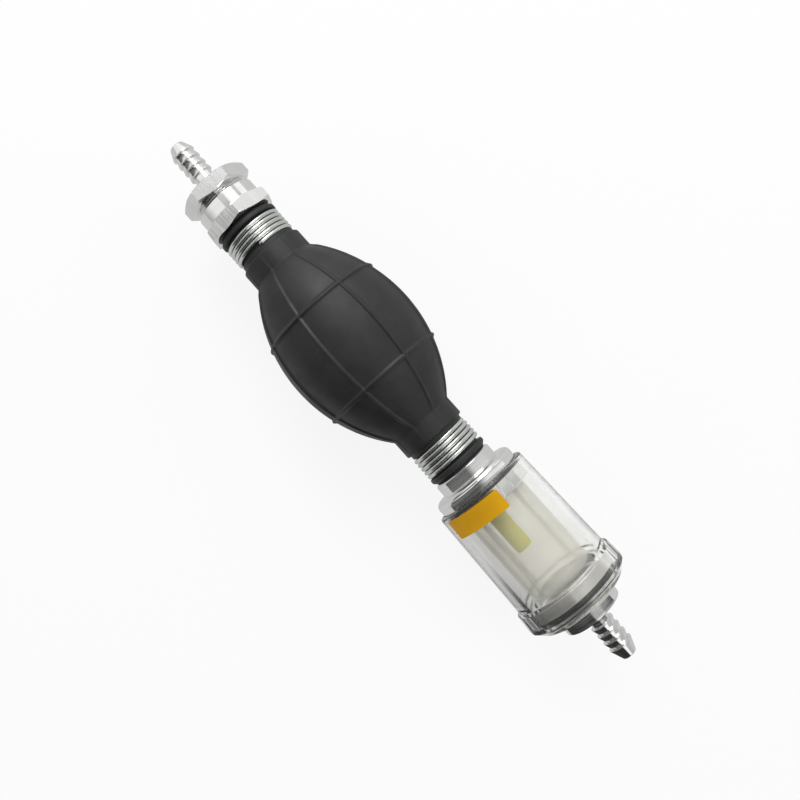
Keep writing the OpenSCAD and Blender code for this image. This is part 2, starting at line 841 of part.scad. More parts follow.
module base_plug() {
    plug_outer_r = plug_bore_r - plug_gap;
    color([0.78, 0.79, 0.8])
        inlet_side(0)
            difference() {
                union() {
                    rotate_extrude()
                        polygon([[0, plug_top], [plug_outer_r - edge, plug_top],
                            [plug_outer_r, plug_top + edge], [plug_outer_r, groove_top],
                            [plug_bore_r - groove_depth, groove_top],
                            [plug_bore_r - groove_depth, groove_top + groove_w],
                            [plug_outer_r, groove_top + groove_w], [plug_outer_r, bowl_end],
                            [plug_rim_r, plug_end], [0, plug_end]]);
                    translate([0, 0, plug_end - cut])
                        turned_bar(boss_r, boss_len + cut, 0, edge);
                    translate([0, 0, inlet_root - cut])
                        barbed_tail(inlet_tail_len + cut, inlet_lead, inlet_barb_r);
                }
                bore(recess_r, plug_top - cut, plug_top + recess_depth);
                bore(tail_bore_r, plug_top, inlet_tip + cut);
            }
}

// O-ring, pressed nearly square between its groove and the bowl
module base_o_ring() {
    section = groove_depth - 2 * plug_gap;
    width = groove_w - plug_gap;
    color([0.06, 0.06, 0.06])
        inlet_side(groove_top)
            rotate_extrude()
                translate([plug_bore_r - groove_depth + plug_gap, plug_gap / 2]) {
                    translate([0, section / 2])
                        square([section, width - section]);
                    translate([section / 2, section / 2])
                        circle(r = section / 2);
                    translate([section / 2, width - section / 2])
                        circle(r = section / 2);
                }
}

outlet_hose_tail();
outlet_washer();
outlet_valve_body();
outlet_poppet();
outlet_poppet_seal();
outlet_spring();
outlet_wire_clamp();
bulb();
inlet_wire_clamp();
filter_head();
inlet_poppet();
inlet_poppet_seal();
inlet_spring();
inlet_spring_plate();
inlet_snap_ring();
drop_tube();
filter_cage();
filter_mesh();
bowl_gasket();
bowl();
bowl_sticker();
base_plug();
base_o_ring();
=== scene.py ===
"""Looks for a hand siphon pump: a ribbed rubber bulb, two turned fittings and a clear filter bowl.

Lengths are millimetres unless a name ends in _m. A station is a distance outwards from the middle
of the bulb, towards the outlet tail or the inlet tail, and an angle round the pump is measured from
straight up towards +Y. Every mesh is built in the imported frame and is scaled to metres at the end.
"""

import logging
import math
from abc import ABC, abstractmethod
from collections.abc import Callable, Iterable, Sequence
from dataclasses import dataclass, replace
from enum import Enum, IntEnum

import bmesh
import bpy
from mathutils import Matrix, Vector


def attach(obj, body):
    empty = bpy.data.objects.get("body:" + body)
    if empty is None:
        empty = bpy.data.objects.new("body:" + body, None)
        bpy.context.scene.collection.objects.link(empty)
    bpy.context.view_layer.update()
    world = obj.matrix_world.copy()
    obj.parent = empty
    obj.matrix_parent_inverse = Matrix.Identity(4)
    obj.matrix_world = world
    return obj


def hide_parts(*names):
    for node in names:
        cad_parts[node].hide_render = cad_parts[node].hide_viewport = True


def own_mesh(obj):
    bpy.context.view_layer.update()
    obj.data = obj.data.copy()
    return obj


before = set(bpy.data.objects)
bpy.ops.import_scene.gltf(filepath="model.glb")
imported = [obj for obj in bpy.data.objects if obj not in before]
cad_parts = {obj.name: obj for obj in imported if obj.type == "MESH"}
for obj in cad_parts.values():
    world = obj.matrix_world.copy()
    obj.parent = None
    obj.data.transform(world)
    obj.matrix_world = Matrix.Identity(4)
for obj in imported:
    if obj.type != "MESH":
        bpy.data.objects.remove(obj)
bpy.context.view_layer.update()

LOG = logging.getLogger("siphon_pump")

MM = 0.001
AXIS_HEIGHT = 26.5
BULB_MIDDLE = -26.7

# The shortest edge and the smallest turn, in radians, that are still rounded, and the largest share
# of an edge that a rounding takes
LEAST_EDGE = 1e-6
LEAST_TURN = 0.02
EDGE_SHARE = 0.49

# Points nearer than this are welded
WELD_DISTANCE = 1e-4
# Weight of large faces in the weighted normals, where 50 is neutral
LARGE_FACE_WEIGHT = 75

# A point is a station and a radius, and a corner adds its rounding
Point = tuple[float, float]
Corner = tuple[float, float, float]
Ring = list[Point]
Colour = tuple[float, float, float]
Socket = bpy.types.NodeSocket


class Side(Enum):
    """The two ends of the pump, with the direction of their stations along X."""

    OUTLET = -1
    INLET = 1

    def x(self, station: float) -> float:
        """Place along X of a station on this side."""
        return BULB_MIDDLE + self.value * station


class Shade(Enum):
    """How a mesh is shaded: the largest angle, in degrees, that is still smoothed."""

    TURNED = 32.0
    SOFT = 60.0
    FACETED = 11.0


class Columns(IntEnum):
    """How many columns a turned skin has round its axis."""

    NIPPLE = 48
    TUBE = 64
    RING = 96
    SLEEVE = 128
    BODY = 160
    HEXAGON = 192


# Mesh tools


def fillet(before: Point, corner: Corner, after: Point, steps: int) -> list[Point]:
    """Rounds one corner of a profile.

    Args:
        before: The point before the corner.
        corner: Station, radius and rounding of the corner.
        after: The point after the corner.
        steps: Straight pieces in the rounding.

    Returns:
        The corner itself, or the points of its rounding.
    """
    rounding = corner[2]
    here = Vector(corner[:2])
    back, on = Vector(before) - here, Vector(after) - here
    if rounding <= 0 or back.length < LEAST_EDGE or on.length < LEAST_EDGE:
        return [corner[:2]]
    angle = back.angle(on)
    if angle < LEAST_TURN or angle > math.pi - LEAST_TURN:
        return [corner[:2]]
    reach = min(rounding / math.tan(angle / 2), EDGE_SHARE * back.length, EDGE_SHARE * on.length)
    start, end = here + back.normalized() * reach, here + on.normalized() * reach
    pull = math.sin(angle / 2)
    points = []
    for i in range(steps + 1):
        t = i / steps
        weights = ((1 - t) ** 2, 2 * t * (1 - t) * pull, t**2)
        p = (start * weights[0] + here * weights[1] + end * weights[2]) / sum(weights)
        points.append((p.x, p.y))
    return points


def rounded(corners: Sequence[Corner], steps: int = 5) -> list[Point]:
    """Walks an open profile and rounds its inner corners.

    Args:
        corners: Station, radius and rounding of each corner.
        steps: Straight pieces in each rounding.

    Returns:
        The points of the profile.
    """
    points: list[Point] = [corners[0][:2]]
    for i in range(1, len(corners) - 1):
        points += fillet(corners[i - 1][:2], corners[i], corners[i + 1][:2], steps)
    points.append(corners[-1][:2])
    return points


def even_columns(count: int, first: float = 0.0) -> list[float]:
    """Angles of evenly spread columns, in radians, from a first angle in degrees."""
    return [math.radians(first) + 2 * math.pi * i / count for i in range(count)]


def around(
    x: float, radius: float, angle: float, centre_y: float = 0.0
) -> tuple[float, float, float]:
    """Point round the pump's axis, or round an axis beside it."""
    return x, centre_y + radius * math.sin(angle), AXIS_HEIGHT + radius * math.cos(angle)


def bridge(
    bm: bmesh.types.BMesh,
    rows: Sequence[Sequence[bmesh.types.BMVert]],
    slots: Callable[[int], int] | None = None,
) -> None:
    """Joins each ring of points to the next with quads.

    Args:
        bm: The mesh that the quads are added to.
        rows: Rings with the same number of points.
        slots: Gives the material slot of the strip after each ring.
    """
    for i, (row, after) in enumerate(zip(rows, rows[1:])):
        for k in range(len(row)):
            n = (k + 1) % len(row)
            face = bm.faces.new((row[k], row[n], after[n], after[k]))
            face.material_index = slots(i) if slots else 0


@dataclass
class Skin:
    """A closed skin round the pump's axis, laid over rings of (station, radius) points."""

    side: Side
    columns: list[float]
    centre_y: float = 0.0

    def plain(self, points: Iterable[Point]) -> list[Ring]:
        """Turns profile points into rings that are the same all round."""
        return [[p] * len(self.columns) for p in points]

    def shaped(self, place: Callable[[float], Point]) -> Ring:
        """One ring whose station and radius depend on the angle."""
        return [place(a) for a in self.columns]

    def lay(
        self,
        bm: bmesh.types.BMesh,
        rings: Sequence[Ring],
        slots: Callable[[int], int] | None = None,
    ) -> None:
        """Adds the skin to a mesh and closes it from the last ring to the first.

        Args:
            bm: The mesh that the skin is added to.
            rings: The rings in order round the profile.
            slots: Gives the material slot of the strip after each ring.
        """
        rows = []
        for ring in rings:
            row = []
            for angle, (station, radius) in zip(self.columns, ring):
                row.append(bm.verts.new(around(self.side.x(station), radius, angle, self.centre_y)))
            rows.append(row)
        bridge(bm, [*rows, rows[0]], slots)

    def revolved(self, corners: Sequence[Corner], steps: int = 5) -> bmesh.types.BMesh:
        """Turns a profile that ends where it began.

        Args:
            corners: Station, radius and rounding of each corner; the last is the first again.
            steps: Straight pieces in each rounding.

        Returns:
            A new mesh of the turned profile.
        """
        bm = bmesh.new()
        self.lay(bm, self.plain(rounded(corners, steps)[:-1]))
        return bm


def tube_along(
    bm: bmesh.types.BMesh,
    path: Sequence[Vector],
    frames: Sequence[tuple[Vector, Vector]],
    radius: float,
    sides: int,
    blunt: float,
) -> None:
    """Adds a round tube with closed, slightly broken ends.

    Args:
        bm: The mesh that the tube is added to.
        path: Centres of its rings.
        frames: Two crossing directions for each ring.
        radius: Radius of the tube.
        sides: Points on each ring.
        blunt: How far the edge of each end is broken.
    """

    def ring(centre: Vector, axes: tuple[Vector, Vector], size: float) -> list[bmesh.types.BMVert]:
        u, v = axes
        turns = [2 * math.pi * k / sides for k in range(sides)]
        return [bm.verts.new(centre + size * (u * math.cos(t) + v * math.sin(t))) for t in turns]

    broken = radius * (1 - blunt / radius)
    before = (path[1] - path[0]).normalized() * -blunt
    beyond = (path[-1] - path[-2]).normalized() * blunt
    rows = [ring(path[0] + before, frames[0], broken)]
    rows += [ring(centre, axes, radius) for centre, axes in zip(path, frames)]
    rows.append(ring(path[-1] + beyond, frames[-1], broken))
    bridge(bm, rows)
    bm.faces.new(rows[0])
    bm.faces.new(rows[-1])


# Material tools


@dataclass
class Sheet:
    """Adds and links the nodes of one material, world or group."""

    tree: bpy.types.NodeTree

    def add(self, kind: str, **settings: object) -> bpy.types.Node:
        """Adds a node and sets its properties."""
        node = self.tree.nodes.new(kind)
        for key, value in settings.items():
            setattr(node, key, value)
        return node

    def link(self, source: Socket, target: Socket) -> None:
        """Links an output to an input."""
        self.tree.links.new(source, target)

    def feed(self, target: Socket, value: object) -> None:
        """Links a socket to an input, or sets the input to a number or colour."""
        if isinstance(value, Socket):
            self.link(value, target)
        else:
            target.default_value = value

    def math(self, operation: str, *values: object) -> Socket:
        """A Math node on numbers and sockets."""
        node = self.add("ShaderNodeMath", operation=operation)
        for socket, value in zip(node.inputs, values):
            self.feed(socket, value)
        return node.outputs[0]

    def ramp(
        self, value: object, low: float, high: float, to_low: float = 0.0, to_high: float = 1.0
    ) -> Socket:
        """Maps a range smoothly onto another."""
        node = self.add("ShaderNodeMapRange", interpolation_type="SMOOTHSTEP")
        names = ("Value", "From Min", "From Max", "To Min", "To Max")
        for name, number in zip(names, (value, low, high, to_low, to_high)):
            self.feed(node.inputs[name], number)
        return node.outputs["Result"]

    def blend(self, share: object, first: object, second: object) -> Socket:
        """Mixes two colours, on the colour sockets of a Mix node."""
        node = self.add("ShaderNodeMix", data_type="RGBA", clamp_factor=True)
        self.feed(node.inputs[0], share)
        self.feed(node.inputs[6], first)
        self.feed(node.inputs[7], second)
        return node.outputs[2]

    def pick(self, share: object, first: object, second: object) -> Socket:
        """Mixes two numbers, on the number sockets of a Mix node."""
        node = self.add("ShaderNodeMix", data_type="FLOAT", clamp_factor=True)
        self.feed(node.inputs[0], share)
        self.feed(node.inputs[2], first)
        self.feed(node.inputs[3], second)
        return node.outputs[0]

    def split(self, vector: Socket) -> bpy.types.NodeOutputs:
        """The three parts of a vector."""
        node = self.add("ShaderNodeSeparateXYZ")
        self.link(vector, node.inputs[0])
        return node.outputs

    def noise(
        self, place: Socket, scale: object, detail: float = 3.0, roughness: float = 0.5
    ) -> Socket:
        """A noise texture's value."""
        node = self.add("ShaderNodeTexNoise")
        self.link(place, node.inputs["Vector"])
        self.feed(node.inputs["Scale"], scale)
        node.inputs["Detail"].default_value = detail
        node.inputs["Roughness"].default_value = roughness
        return node.outputs["Fac"]

    def noise_along(self, value: Socket, detail: float) -> Socket:
        """A noise texture's value along a single number."""
        node = self.add("ShaderNodeTexNoise", noise_dimensions="1D")
        self.link(value, node.inputs["W"])
        node.inputs["Scale"].default_value = 1.0
        node.inputs["Detail"].default_value = detail
        return node.outputs["Fac"]


def rgba(colour: Colour) -> tuple[float, float, float, float]:
    """A colour with full alpha."""
    return (*colour, 1.0)


class Effect(Enum):
    """The shared effects, by the name of their node group."""

    TURNING_MARKS = "turning_marks"
    DRAWN_STREAKS = "drawn_streaks"
    GRAIN = "grain"
    DUST = "dust"
    WEAVE = "weave"


class EffectLibrary:
    """Builds each shared effect once as a shader node group."""

    def __init__(self) -> None:
        """Starts with no group built."""
        self._groups: dict[Effect, bpy.types.NodeTree] = {}

    def get(self, effect: Effect) -> bpy.types.NodeTree:
        """The node group of an effect, built at its first use."""
        if effect not in self._groups:
            self._groups[effect] = getattr(self, "_" + effect.value)()
        return self._groups[effect]

    def place(self, sheet: Sheet, effect: Effect, **values: float) -> bpy.types.Node:
        """Places an effect in a material.

        Args:
            sheet: The material's nodes.
            effect: The effect.
            values: Its inputs by name, with underscores for spaces.

        Returns:
            The group node.
        """
        node = sheet.add("ShaderNodeGroup", node_tree=self.get(effect))
        for key, value in values.items():
            sheet.feed(node.inputs[key.replace("_", " ")], value)
        return node

    @staticmethod
    def _frame(
        effect: Effect, inputs: Sequence[tuple[str, float]], outputs: Sequence[str]
    ) -> tuple[Sheet, bpy.types.Node, bpy.types.Node, Socket]:
        """Makes an empty group with its sockets.

        Args:
            effect: The effect.
            inputs: Names and default values of its inputs.
            outputs: Names of its outputs.

        Returns:
            The group's nodes, its input and output nodes, and the place on the object.
        """
        tree = bpy.data.node_groups.new(effect.value, "ShaderNodeTree")
        kind = "NodeSocketFloat"
        for name, value in inputs:
            socket = tree.interface.new_socket(name=name, in_out="INPUT", socket_type=kind)
            socket.default_value = value
        for name in outputs:
            tree.interface.new_socket(name=name, in_out="OUTPUT", socket_type=kind)
        sheet = Sheet(tree)
        entry, leave = sheet.add("NodeGroupInput"), sheet.add("NodeGroupOutput")
        place = sheet.add("ShaderNodeTexCoord").outputs["Object"]
        return sheet, entry, leave, place

    @staticmethod
    def _axis(sheet: Sheet, place: Socket) -> tuple[Socket, Socket, Socket]:
        """Station, radius and angle round the pump's axis, in metres and radians."""
        x, y, z = sheet.split(place)
        up = sheet.math("SUBTRACT", z, AXIS_HEIGHT * MM)
        squares = sheet.math("ADD", sheet.math("POWER", y, 2.0), sheet.math("POWER", up, 2.0))
        return x, sheet.math("SQRT", squares), sheet.math("ARCTAN2", y, up)

    def _turning_marks(self) -> bpy.types.NodeTree:
        """Fine rings left by a lathe tool, on sides and faces alike."""
        face_share, broad_share = 1.37, 0.21
        lobes, wander_depth = 3.0, 0.05
        sheet, entry, leave, place = self._frame(
            Effect.TURNING_MARKS, [("Pitch", 0.3), ("Chatter", 0.3)], ["Height", "Mask"]
        )
        station, radius, angle = self._axis(sheet, place)
        along = sheet.math("ADD", station, sheet.math("MULTIPLY", radius, face_share))
        turns = sheet.math("DIVIDE", along, sheet.math("MULTIPLY", entry.outputs["Pitch"], MM))
        lobe = sheet.math("SINE", sheet.math("MULTIPLY", angle, lobes))
        wander = sheet.math("MULTIPLY", lobe, wander_depth)
        rings = sheet.noise_along(sheet.math("ADD", turns, wander), 2.0)
        broad = sheet.noise_along(sheet.math("MULTIPLY", turns, broad_share), 1.0)
        chatter = sheet.math("MULTIPLY", broad, entry.outputs["Chatter"])
        sheet.link(sheet.math("ADD", rings, chatter), leave.inputs["Height"])
        sheet.link(sheet.ramp(broad, 0.3, 0.7), leave.inputs["Mask"])
        return sheet.tree

    def _drawn_streaks(self) -> bpy.types.NodeTree:
        """Streaks along drawn bar, across the turning marks."""
        sheet, entry, leave, place = self._frame(
            Effect.DRAWN_STREAKS, [("Scale", 900.0), ("Stretch", 0.02)], ["Height", "Mask"]
        )
        x, y, z = sheet.split(place)
        joined = sheet.add("ShaderNodeCombineXYZ")
        sheet.link(sheet.math("MULTIPLY", x, entry.outputs["Stretch"]), joined.inputs[0])
        sheet.link(y, joined.inputs[1])
        sheet.link(z, joined.inputs[2])
        fine = sheet.noise(joined.outputs[0], entry.outputs["Scale"], 3.0)
        sheet.link(fine, leave.inputs["Height"])
        sheet.link(sheet.ramp(fine, 0.35, 0.65), leave.inputs["Mask"])
        return sheet.tree

    def _grain(self) -> bpy.types.NodeTree:
        """Fine grain over broad unevenness, as on a moulding."""
        sheet, entry, leave, place = self._frame(
            Effect.GRAIN, [("Fine", 2500.0), ("Broad", 60.0), ("Balance", 0.35)], ["Height", "Mask"]
        )
        fine = sheet.noise(place, entry.outputs["Fine"], 4.0, 0.6)
        broad = sheet.noise(place, entry.outputs["Broad"], 3.0)
        both = sheet.math("ADD", sheet.math("MULTIPLY", fine, entry.outputs["Balance"]), broad)
        sheet.link(both, leave.inputs["Height"])
        sheet.link(sheet.ramp(broad, 0.35, 0.65), leave.inputs["Mask"])
        return sheet.tree

    def _dust(self) -> bpy.types.NodeTree:
        """Dust that lies on what faces up, in patches with specks between them."""
        patch_share, speck_share, speck_scale = 0.7, 0.5, 22.0
        sheet, entry, leave, place = self._frame(
            Effect.DUST, [("Scale", 90.0), ("Amount", 0.3)], ["Mask"]
        )
        _, _, up = sheet.split(sheet.add("ShaderNodeNewGeometry").outputs["Normal"])
        facing = sheet.ramp(up, -0.2, 0.9)
        patches = sheet.ramp(sheet.noise(place, entry.outputs["Scale"], 5.0, 0.65), 0.38, 0.72)
        small = sheet.math("MULTIPLY", entry.outputs["Scale"], speck_scale)
        specks = sheet.ramp(sheet.noise(place, small, 2.0), 0.64, 0.74)
        patches = sheet.math("MULTIPLY", patches, patch_share)
        specks = sheet.math("MULTIPLY", specks, speck_share)
        cover = sheet.math("MULTIPLY", facing, sheet.math("ADD", patches, specks))
        shown = sheet.math("MULTIPLY", cover, entry.outputs["Amount"])
        sheet.link(shown, leave.inputs["Mask"])
        return sheet.tree

    def _weave(self) -> bpy.types.NodeTree:
        """Plain weave of a strainer sleeve: threads along the axis and round it."""
        sheet, entry, leave, place = self._frame(
            Effect.WEAVE, [("Pitch", 0.5), ("Radius", 12.9)], ["Height", "Mask"]
        )
        station, _, angle = self._axis(sheet, place)
        step = sheet.math("MULTIPLY", entry.outputs["Pitch"], MM)
        across = sheet.math("MULTIPLY", sheet.math("DIVIDE", station, step), math.pi)
        arc = sheet.math("MULTIPLY", angle, sheet.math("MULTIPLY", entry.outputs["Radius"], MM))
        round_it = sheet.math("MULTIPLY", sheet.math("DIVIDE", arc, step), math.pi)
        warp = sheet.math("ABSOLUTE", sheet.math("SINE", across))
        weft = sheet.math("ABSOLUTE", sheet.math("SINE", round_it))
        thread = sheet.math("MAXIMUM", warp, weft)
        sheet.link(thread, leave.inputs["Height"])
        sheet.link(sheet.ramp(thread, 0.72, 0.9), leave.inputs["Mask"])
        return sheet.tree


EFFECTS = EffectLibrary()


def new_material(name: str) -> tuple[bpy.types.Material, Sheet, bpy.types.Node]:
    """Makes a material with its nodes.

    Args:
        name: Name of the material.

    Returns:
        The material, its nodes and its Principled BSDF.
    """
    material = bpy.data.materials.new(name)
    material.use_nodes = True
    sheet = Sheet(material.node_tree)
    return material, sheet, material.node_tree.nodes["Principled BSDF"]


def set_plain(shader: bpy.types.Node, **values: float) -> None:
    """Sets a shader's own sockets, by name with underscores for spaces."""
    for key, value in values.items():
        shader.inputs[key.replace("_", " ")].default_value = value


def set_bump(sheet: Sheet, shader: bpy.types.Node, height: Socket, depth: float) -> None:
    """Feeds a height in the range 0 to 1 to the shader's normal, with its depth in millimetres."""
    bump = sheet.add("ShaderNodeBump")
    bump.inputs["Distance"].default_value = depth * MM
    sheet.link(height, bump.inputs["Height"])
    sheet.link(bump.outputs["Normal"], shader.inputs["Normal"])


@dataclass(frozen=True)
class Finish(ABC):
    """A surface between two colours and between two roughnesses, built as one material."""

    name: str
    colour: Colour
    shaded: Colour
    smooth: float
    rough: float

    @abstractmethod
    def build(self) -> bpy.types.Material:
        """Builds the material."""

    def tint(self, sheet: Sheet, shader: bpy.types.Node, share: Socket) -> None:
        """Takes the colour towards the shaded one by a share."""
        colour = sheet.blend(share, rgba(self.colour), rgba(self.shaded))
        sheet.link(colour, shader.inputs["Base Color"])

    def dull(self, sheet: Sheet, shader: bpy.types.Node, share: Socket, full: float = 1.0) -> None:
        """Takes the roughness from smooth to rough as a share goes from 0 to its full value."""
        roughness = sheet.ramp(share, 0.0, full, self.smooth, self.rough)
        sheet.link(roughness, shader.inputs["Roughness"])


@dataclass(frozen=True)
class MetalFinish(Finish):
    """Bare metal with lathe rings or drawing streaks."""

    effect: Effect = Effect.TURNING_MARKS
    pitch: float = 0.3
    depth: float = 0.004
    tarnish: float = 0.25
    marks_in_colour: float = 0.25
    marks_in_roughness: float = 0.5
    full_roughness: float = 0.75

    def build(self) -> bpy.types.Material:
        """Builds the material."""
        material, sheet, shader = new_material(self.name)
        if self.effect is Effect.TURNING_MARKS:
            marks = EFFECTS.place(sheet, self.effect, Pitch=self.pitch, Chatter=0.5)
        else:
            marks = EFFECTS.place(sheet, self.effect, Scale=1.0 / (self.pitch * MM), Stretch=0.03)
        grain = EFFECTS.place(sheet, Effect.GRAIN, Fine=1800.0, Broad=140.0, Balance=0.5)
        mask = marks.outputs["Mask"]
        stain = sheet.math("MULTIPLY", grain.outputs["Mask"], self.tarnish)
        shade = sheet.math("ADD", stain, sheet.math("MULTIPLY", mask, self.marks_in_colour))
        self.tint(sheet, shader, shade)
        wear = sheet.math("ADD", stain, sheet.math("MULTIPLY", mask, self.marks_in_roughness))
        self.dull(sheet, shader, wear, self.full_roughness)
        set_plain(shader, Metallic=1.0)
        set_bump(sheet, shader, marks.outputs["Height"], self.depth)
        return material


@dataclass(frozen=True)
class RubberFinish(Finish):
    """Moulded rubber, matt with a faint bloom of dust."""

    depth: float = 0.02
    dust: float = 0.3

    def build(self) -> bpy.types.Material:
        """Builds the material."""
        material, sheet, shader = new_material(self.name)
        grain = EFFECTS.place(sheet, Effect.GRAIN, Fine=2600.0, Broad=75.0, Balance=0.6)
        dust = EFFECTS.place(sheet, Effect.DUST, Scale=70.0, Amount=self.dust)
        self.tint(sheet, shader, dust.outputs["Mask"])
        self.dull(sheet, shader, grain.outputs["Mask"])
        set_plain(shader, Metallic=0.0)
        set_bump(sheet, shader, grain.outputs["Height"], self.depth)
        return material


@dataclass(frozen=True)
class PlasticFinish(Finish):
    """Moulded plastic, solid or clear."""

    clear: float = 0.0
    index: float = 1.49
    depth: float = 0.01
    lets_light_in: float = 0.0
    solid: float = 1.0

    def build(self) -> bpy.types.Material:
        """Builds the material; a clear one lets lamps shine through to what it holds."""
        material, sheet, shader = new_material(self.name)
        grain = EFFECTS.place(sheet, Effect.GRAIN, Fine=1500.0, Broad=45.0, Balance=0.25)
        self.tint(sheet, shader, grain.outputs["Mask"])
        self.dull(sheet, shader, grain.outputs["Mask"])
        set_plain(shader, Metallic=0.0, IOR=self.index)
        set_plain(shader, Transmission_Weight=self.clear, Alpha=self.solid)
        if self.lets_light_in > 0:
            shadow = sheet.add("ShaderNodeLightPath").outputs["Is Shadow Ray"]
            passed = sheet.math("MULTIPLY", shadow, self.lets_light_in)
            sheet.link(sheet.math("SUBTRACT", 1.0, passed), shader.inputs["Alpha"])
        set_bump(sheet, shader, grain.outputs["Height"], self.depth)
        return material


@dataclass(frozen=True)
class MeshFinish(Finish):
    """Woven strainer cloth, open between its threads."""

    pitch: float
    radius: float
    open_alpha: float
    thread_alpha: float
    depth: float = 0.05

    def build(self) -> bpy.types.Material:
        """Builds the material."""
        material, sheet, shader = new_material(self.name)
        weave = EFFECTS.place(sheet, Effect.WEAVE, Pitch=self.pitch, Radius=self.radius)
        grain = EFFECTS.place(sheet, Effect.GRAIN, Fine=1200.0, Broad=70.0, Balance=0.3)
        self.tint(sheet, shader, grain.outputs["Mask"])
        self.dull(sheet, shader, grain.outputs["Mask"])
        alpha = sheet.ramp(weave.outputs["Mask"], 0.0, 1.0, self.open_alpha, self.thread_alpha)
        sheet.link(alpha, shader.inputs["Alpha"])
        set_plain(shader, Metallic=0.0)
        set_bump(sheet, shader, weave.outputs["Height"], self.depth)
        return material


BRIGHT_TURNED = MetalFinish(
    "bright_turned_aluminium",
    colour=(0.9, 0.9, 0.89),
    shaded=(0.78, 0.78, 0.77),
    smooth=0.07,
    rough=0.15,
    depth=0.0012,
)
MATT_TURNED = MetalFinish(
    "matt_turned_aluminium",
    colour=(0.9, 0.89, 0.86),
    shaded=(0.76, 0.75, 0.71),
    smooth=0.4,
    rough=0.52,
    pitch=0.5,
    depth=0.003,
    tarnish=0.35,
)
BRIGHT_DRAWN = MetalFinish(
    "drawn_hexagon_aluminium",
    colour=(0.88, 0.88, 0.87),
    shaded=(0.74, 0.74, 0.73),
    smooth=0.2,
    rough=0.34,
    effect=Effect.DRAWN_STREAKS,
    pitch=0.6,
    depth=0.003,
)
CLAMP_WIRE = MetalFinish(
    "zinc_plated_wire",
    colour=(0.8, 0.82, 0.79),
    shaded=(0.52, 0.55, 0.51),
    smooth=0.16,
    rough=0.3,
    effect=Effect.DRAWN_STREAKS,
    pitch=0.35,
    depth=0.002,
    tarnish=0.4,
)
SPRING_STEEL = MetalFinish(
    "spring_steel",
    colour=(0.66, 0.66, 0.67),
    shaded=(0.45, 0.45, 0.46),
    smooth=0.2,
    rough=0.35,
    effect=Effect.DRAWN_STREAKS,
    pitch=0.3,
    tarnish=0.3,
)
POPPET_BRASS = MetalFinish(
    "turned_brass",
    colour=(0.86, 0.66, 0.32),
    shaded=(0.6, 0.43, 0.19),
    smooth=0.18,
    rough=0.35,
    pitch=0.25,
)
BULB_RUBBER = RubberFinish(
    "moulded_bulb_rubber",
    colour=(0.014, 0.014, 0.015),
    shaded=(0.07, 0.071, 0.069),
    smooth=0.46,
    rough=0.58,
    dust=0.22,
)
SEAL_RUBBER = RubberFinish(
    "seal_rubber",
    colour=(0.011, 0.011, 0.012),
    shaded=(0.05, 0.05, 0.05),
    smooth=0.32,
    rough=0.42,
    depth=0.005,
    dust=0.15,
)
CLEAR_BOWL = PlasticFinish(
    "clear_bowl_plastic",
    colour=(0.95, 0.95, 0.935),
    shaded=(0.92, 0.92, 0.9),
    smooth=0.05,
    rough=0.12,
    clear=0.985,
    index=1.45,
    lets_light_in=0.92,
)
CAGE_PLASTIC = PlasticFinish(
    "natural_cage_plastic",
    colour=(0.92, 0.91, 0.87),
    shaded=(0.87, 0.86, 0.82),
    smooth=0.4,
    rough=0.5,
    solid=0.32,
)
DROP_TUBE_PLASTIC = PlasticFinish(
    "drop_tube_plastic",
    colour=(0.86, 0.82, 0.0),
    shaded=(0.8, 0.76, 0.0),
    smooth=0.35,
    rough=0.45,
)
STICKER_FILM = PlasticFinish(
    "orange_sticker_film",
    colour=(0.7, 0.36, 0.0),
    shaded=(0.58, 0.29, 0.0),
    smooth=0.5,
    rough=0.6,
    index=1.3,
    depth=0.004,
)
STRAINER_CLOTH = MeshFinish(
    "strainer_cloth",
    colour=(0.91, 0.88, 0.76),
    shaded=(0.7826, 0.7568, 0.6536),
    smooth=0.5,
    rough=0.65,
    pitch=0.5,
    radius=12.9,
    open_alpha=0.07,
    thread_alpha=0.34,
)


class FinishShop:
    """Keeps one material for each finish."""

    def __init__(self) -> None:
        """Starts with no material built."""
        self._made: dict[str, bpy.types.Material] = {}

    def get(self, finish: Finish) -> bpy.types.Material:
        """The material of a finish, built at its first use."""
        if finish.name not in self._made:
            self._made[finish.name] = finish.build()
        return self._made[finish.name]


SHOP = FinishShop()


# Pieces


def make_piece(
    name: str, bm: bmesh.types.BMesh, shade: Shade, *finishes: Finish
) -> bpy.types.Object:
    """Turns a mesh in millimetres into an object in metres.

    Args:
        name: Name of the piece.
        bm: The mesh, which is freed.
        shade: How its faces are smoothed.
        finishes: Its finishes, in slot order.

    Returns:
        The new object.
    """
    bmesh.ops.remove_doubles(bm, verts=bm.verts, dist=WELD_DISTANCE)
    bmesh.ops.recalc_face_normals(bm, faces=bm.faces)
    bmesh.ops.scale(bm, vec=(MM, MM, MM), verts=bm.verts)
    mesh = bpy.data.meshes.new(name)
    bm.to_mesh(mesh)
    bm.free()
    mesh.shade_smooth()
    mesh.set_sharp_from_angle(angle=math.radians(shade.value))
    for finish in finishes:
        mesh.materials.append(SHOP.get(finish))
    piece = bpy.data.objects.new(name, mesh)
    bpy.context.scene.collection.objects.link(piece)
    if shade is not Shade.SOFT:
        even = piece.modifiers.new("even_normals", "WEIGHTED_NORMAL")
        even.weight, even.keep_sharp = LARGE_FACE_WEIGHT, True
    return piece


def seat(piece: bpy.types.Object, body: str, slot: str, *nodes: str) -> None:
    """Lets a piece ride on its body in place of the CAD nodes that it stands for.

    Args:
        piece: The piece.
        body: The body that carries it.
        slot: Its material slot in the record; not used.
        nodes: The CAD nodes that it replaces.
    """
    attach(piece, body)
    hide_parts(*nodes)
    LOG.info("%s: %d faces on %s", piece.name, len(piece.data.polygons), body)


# Sub-assemblies


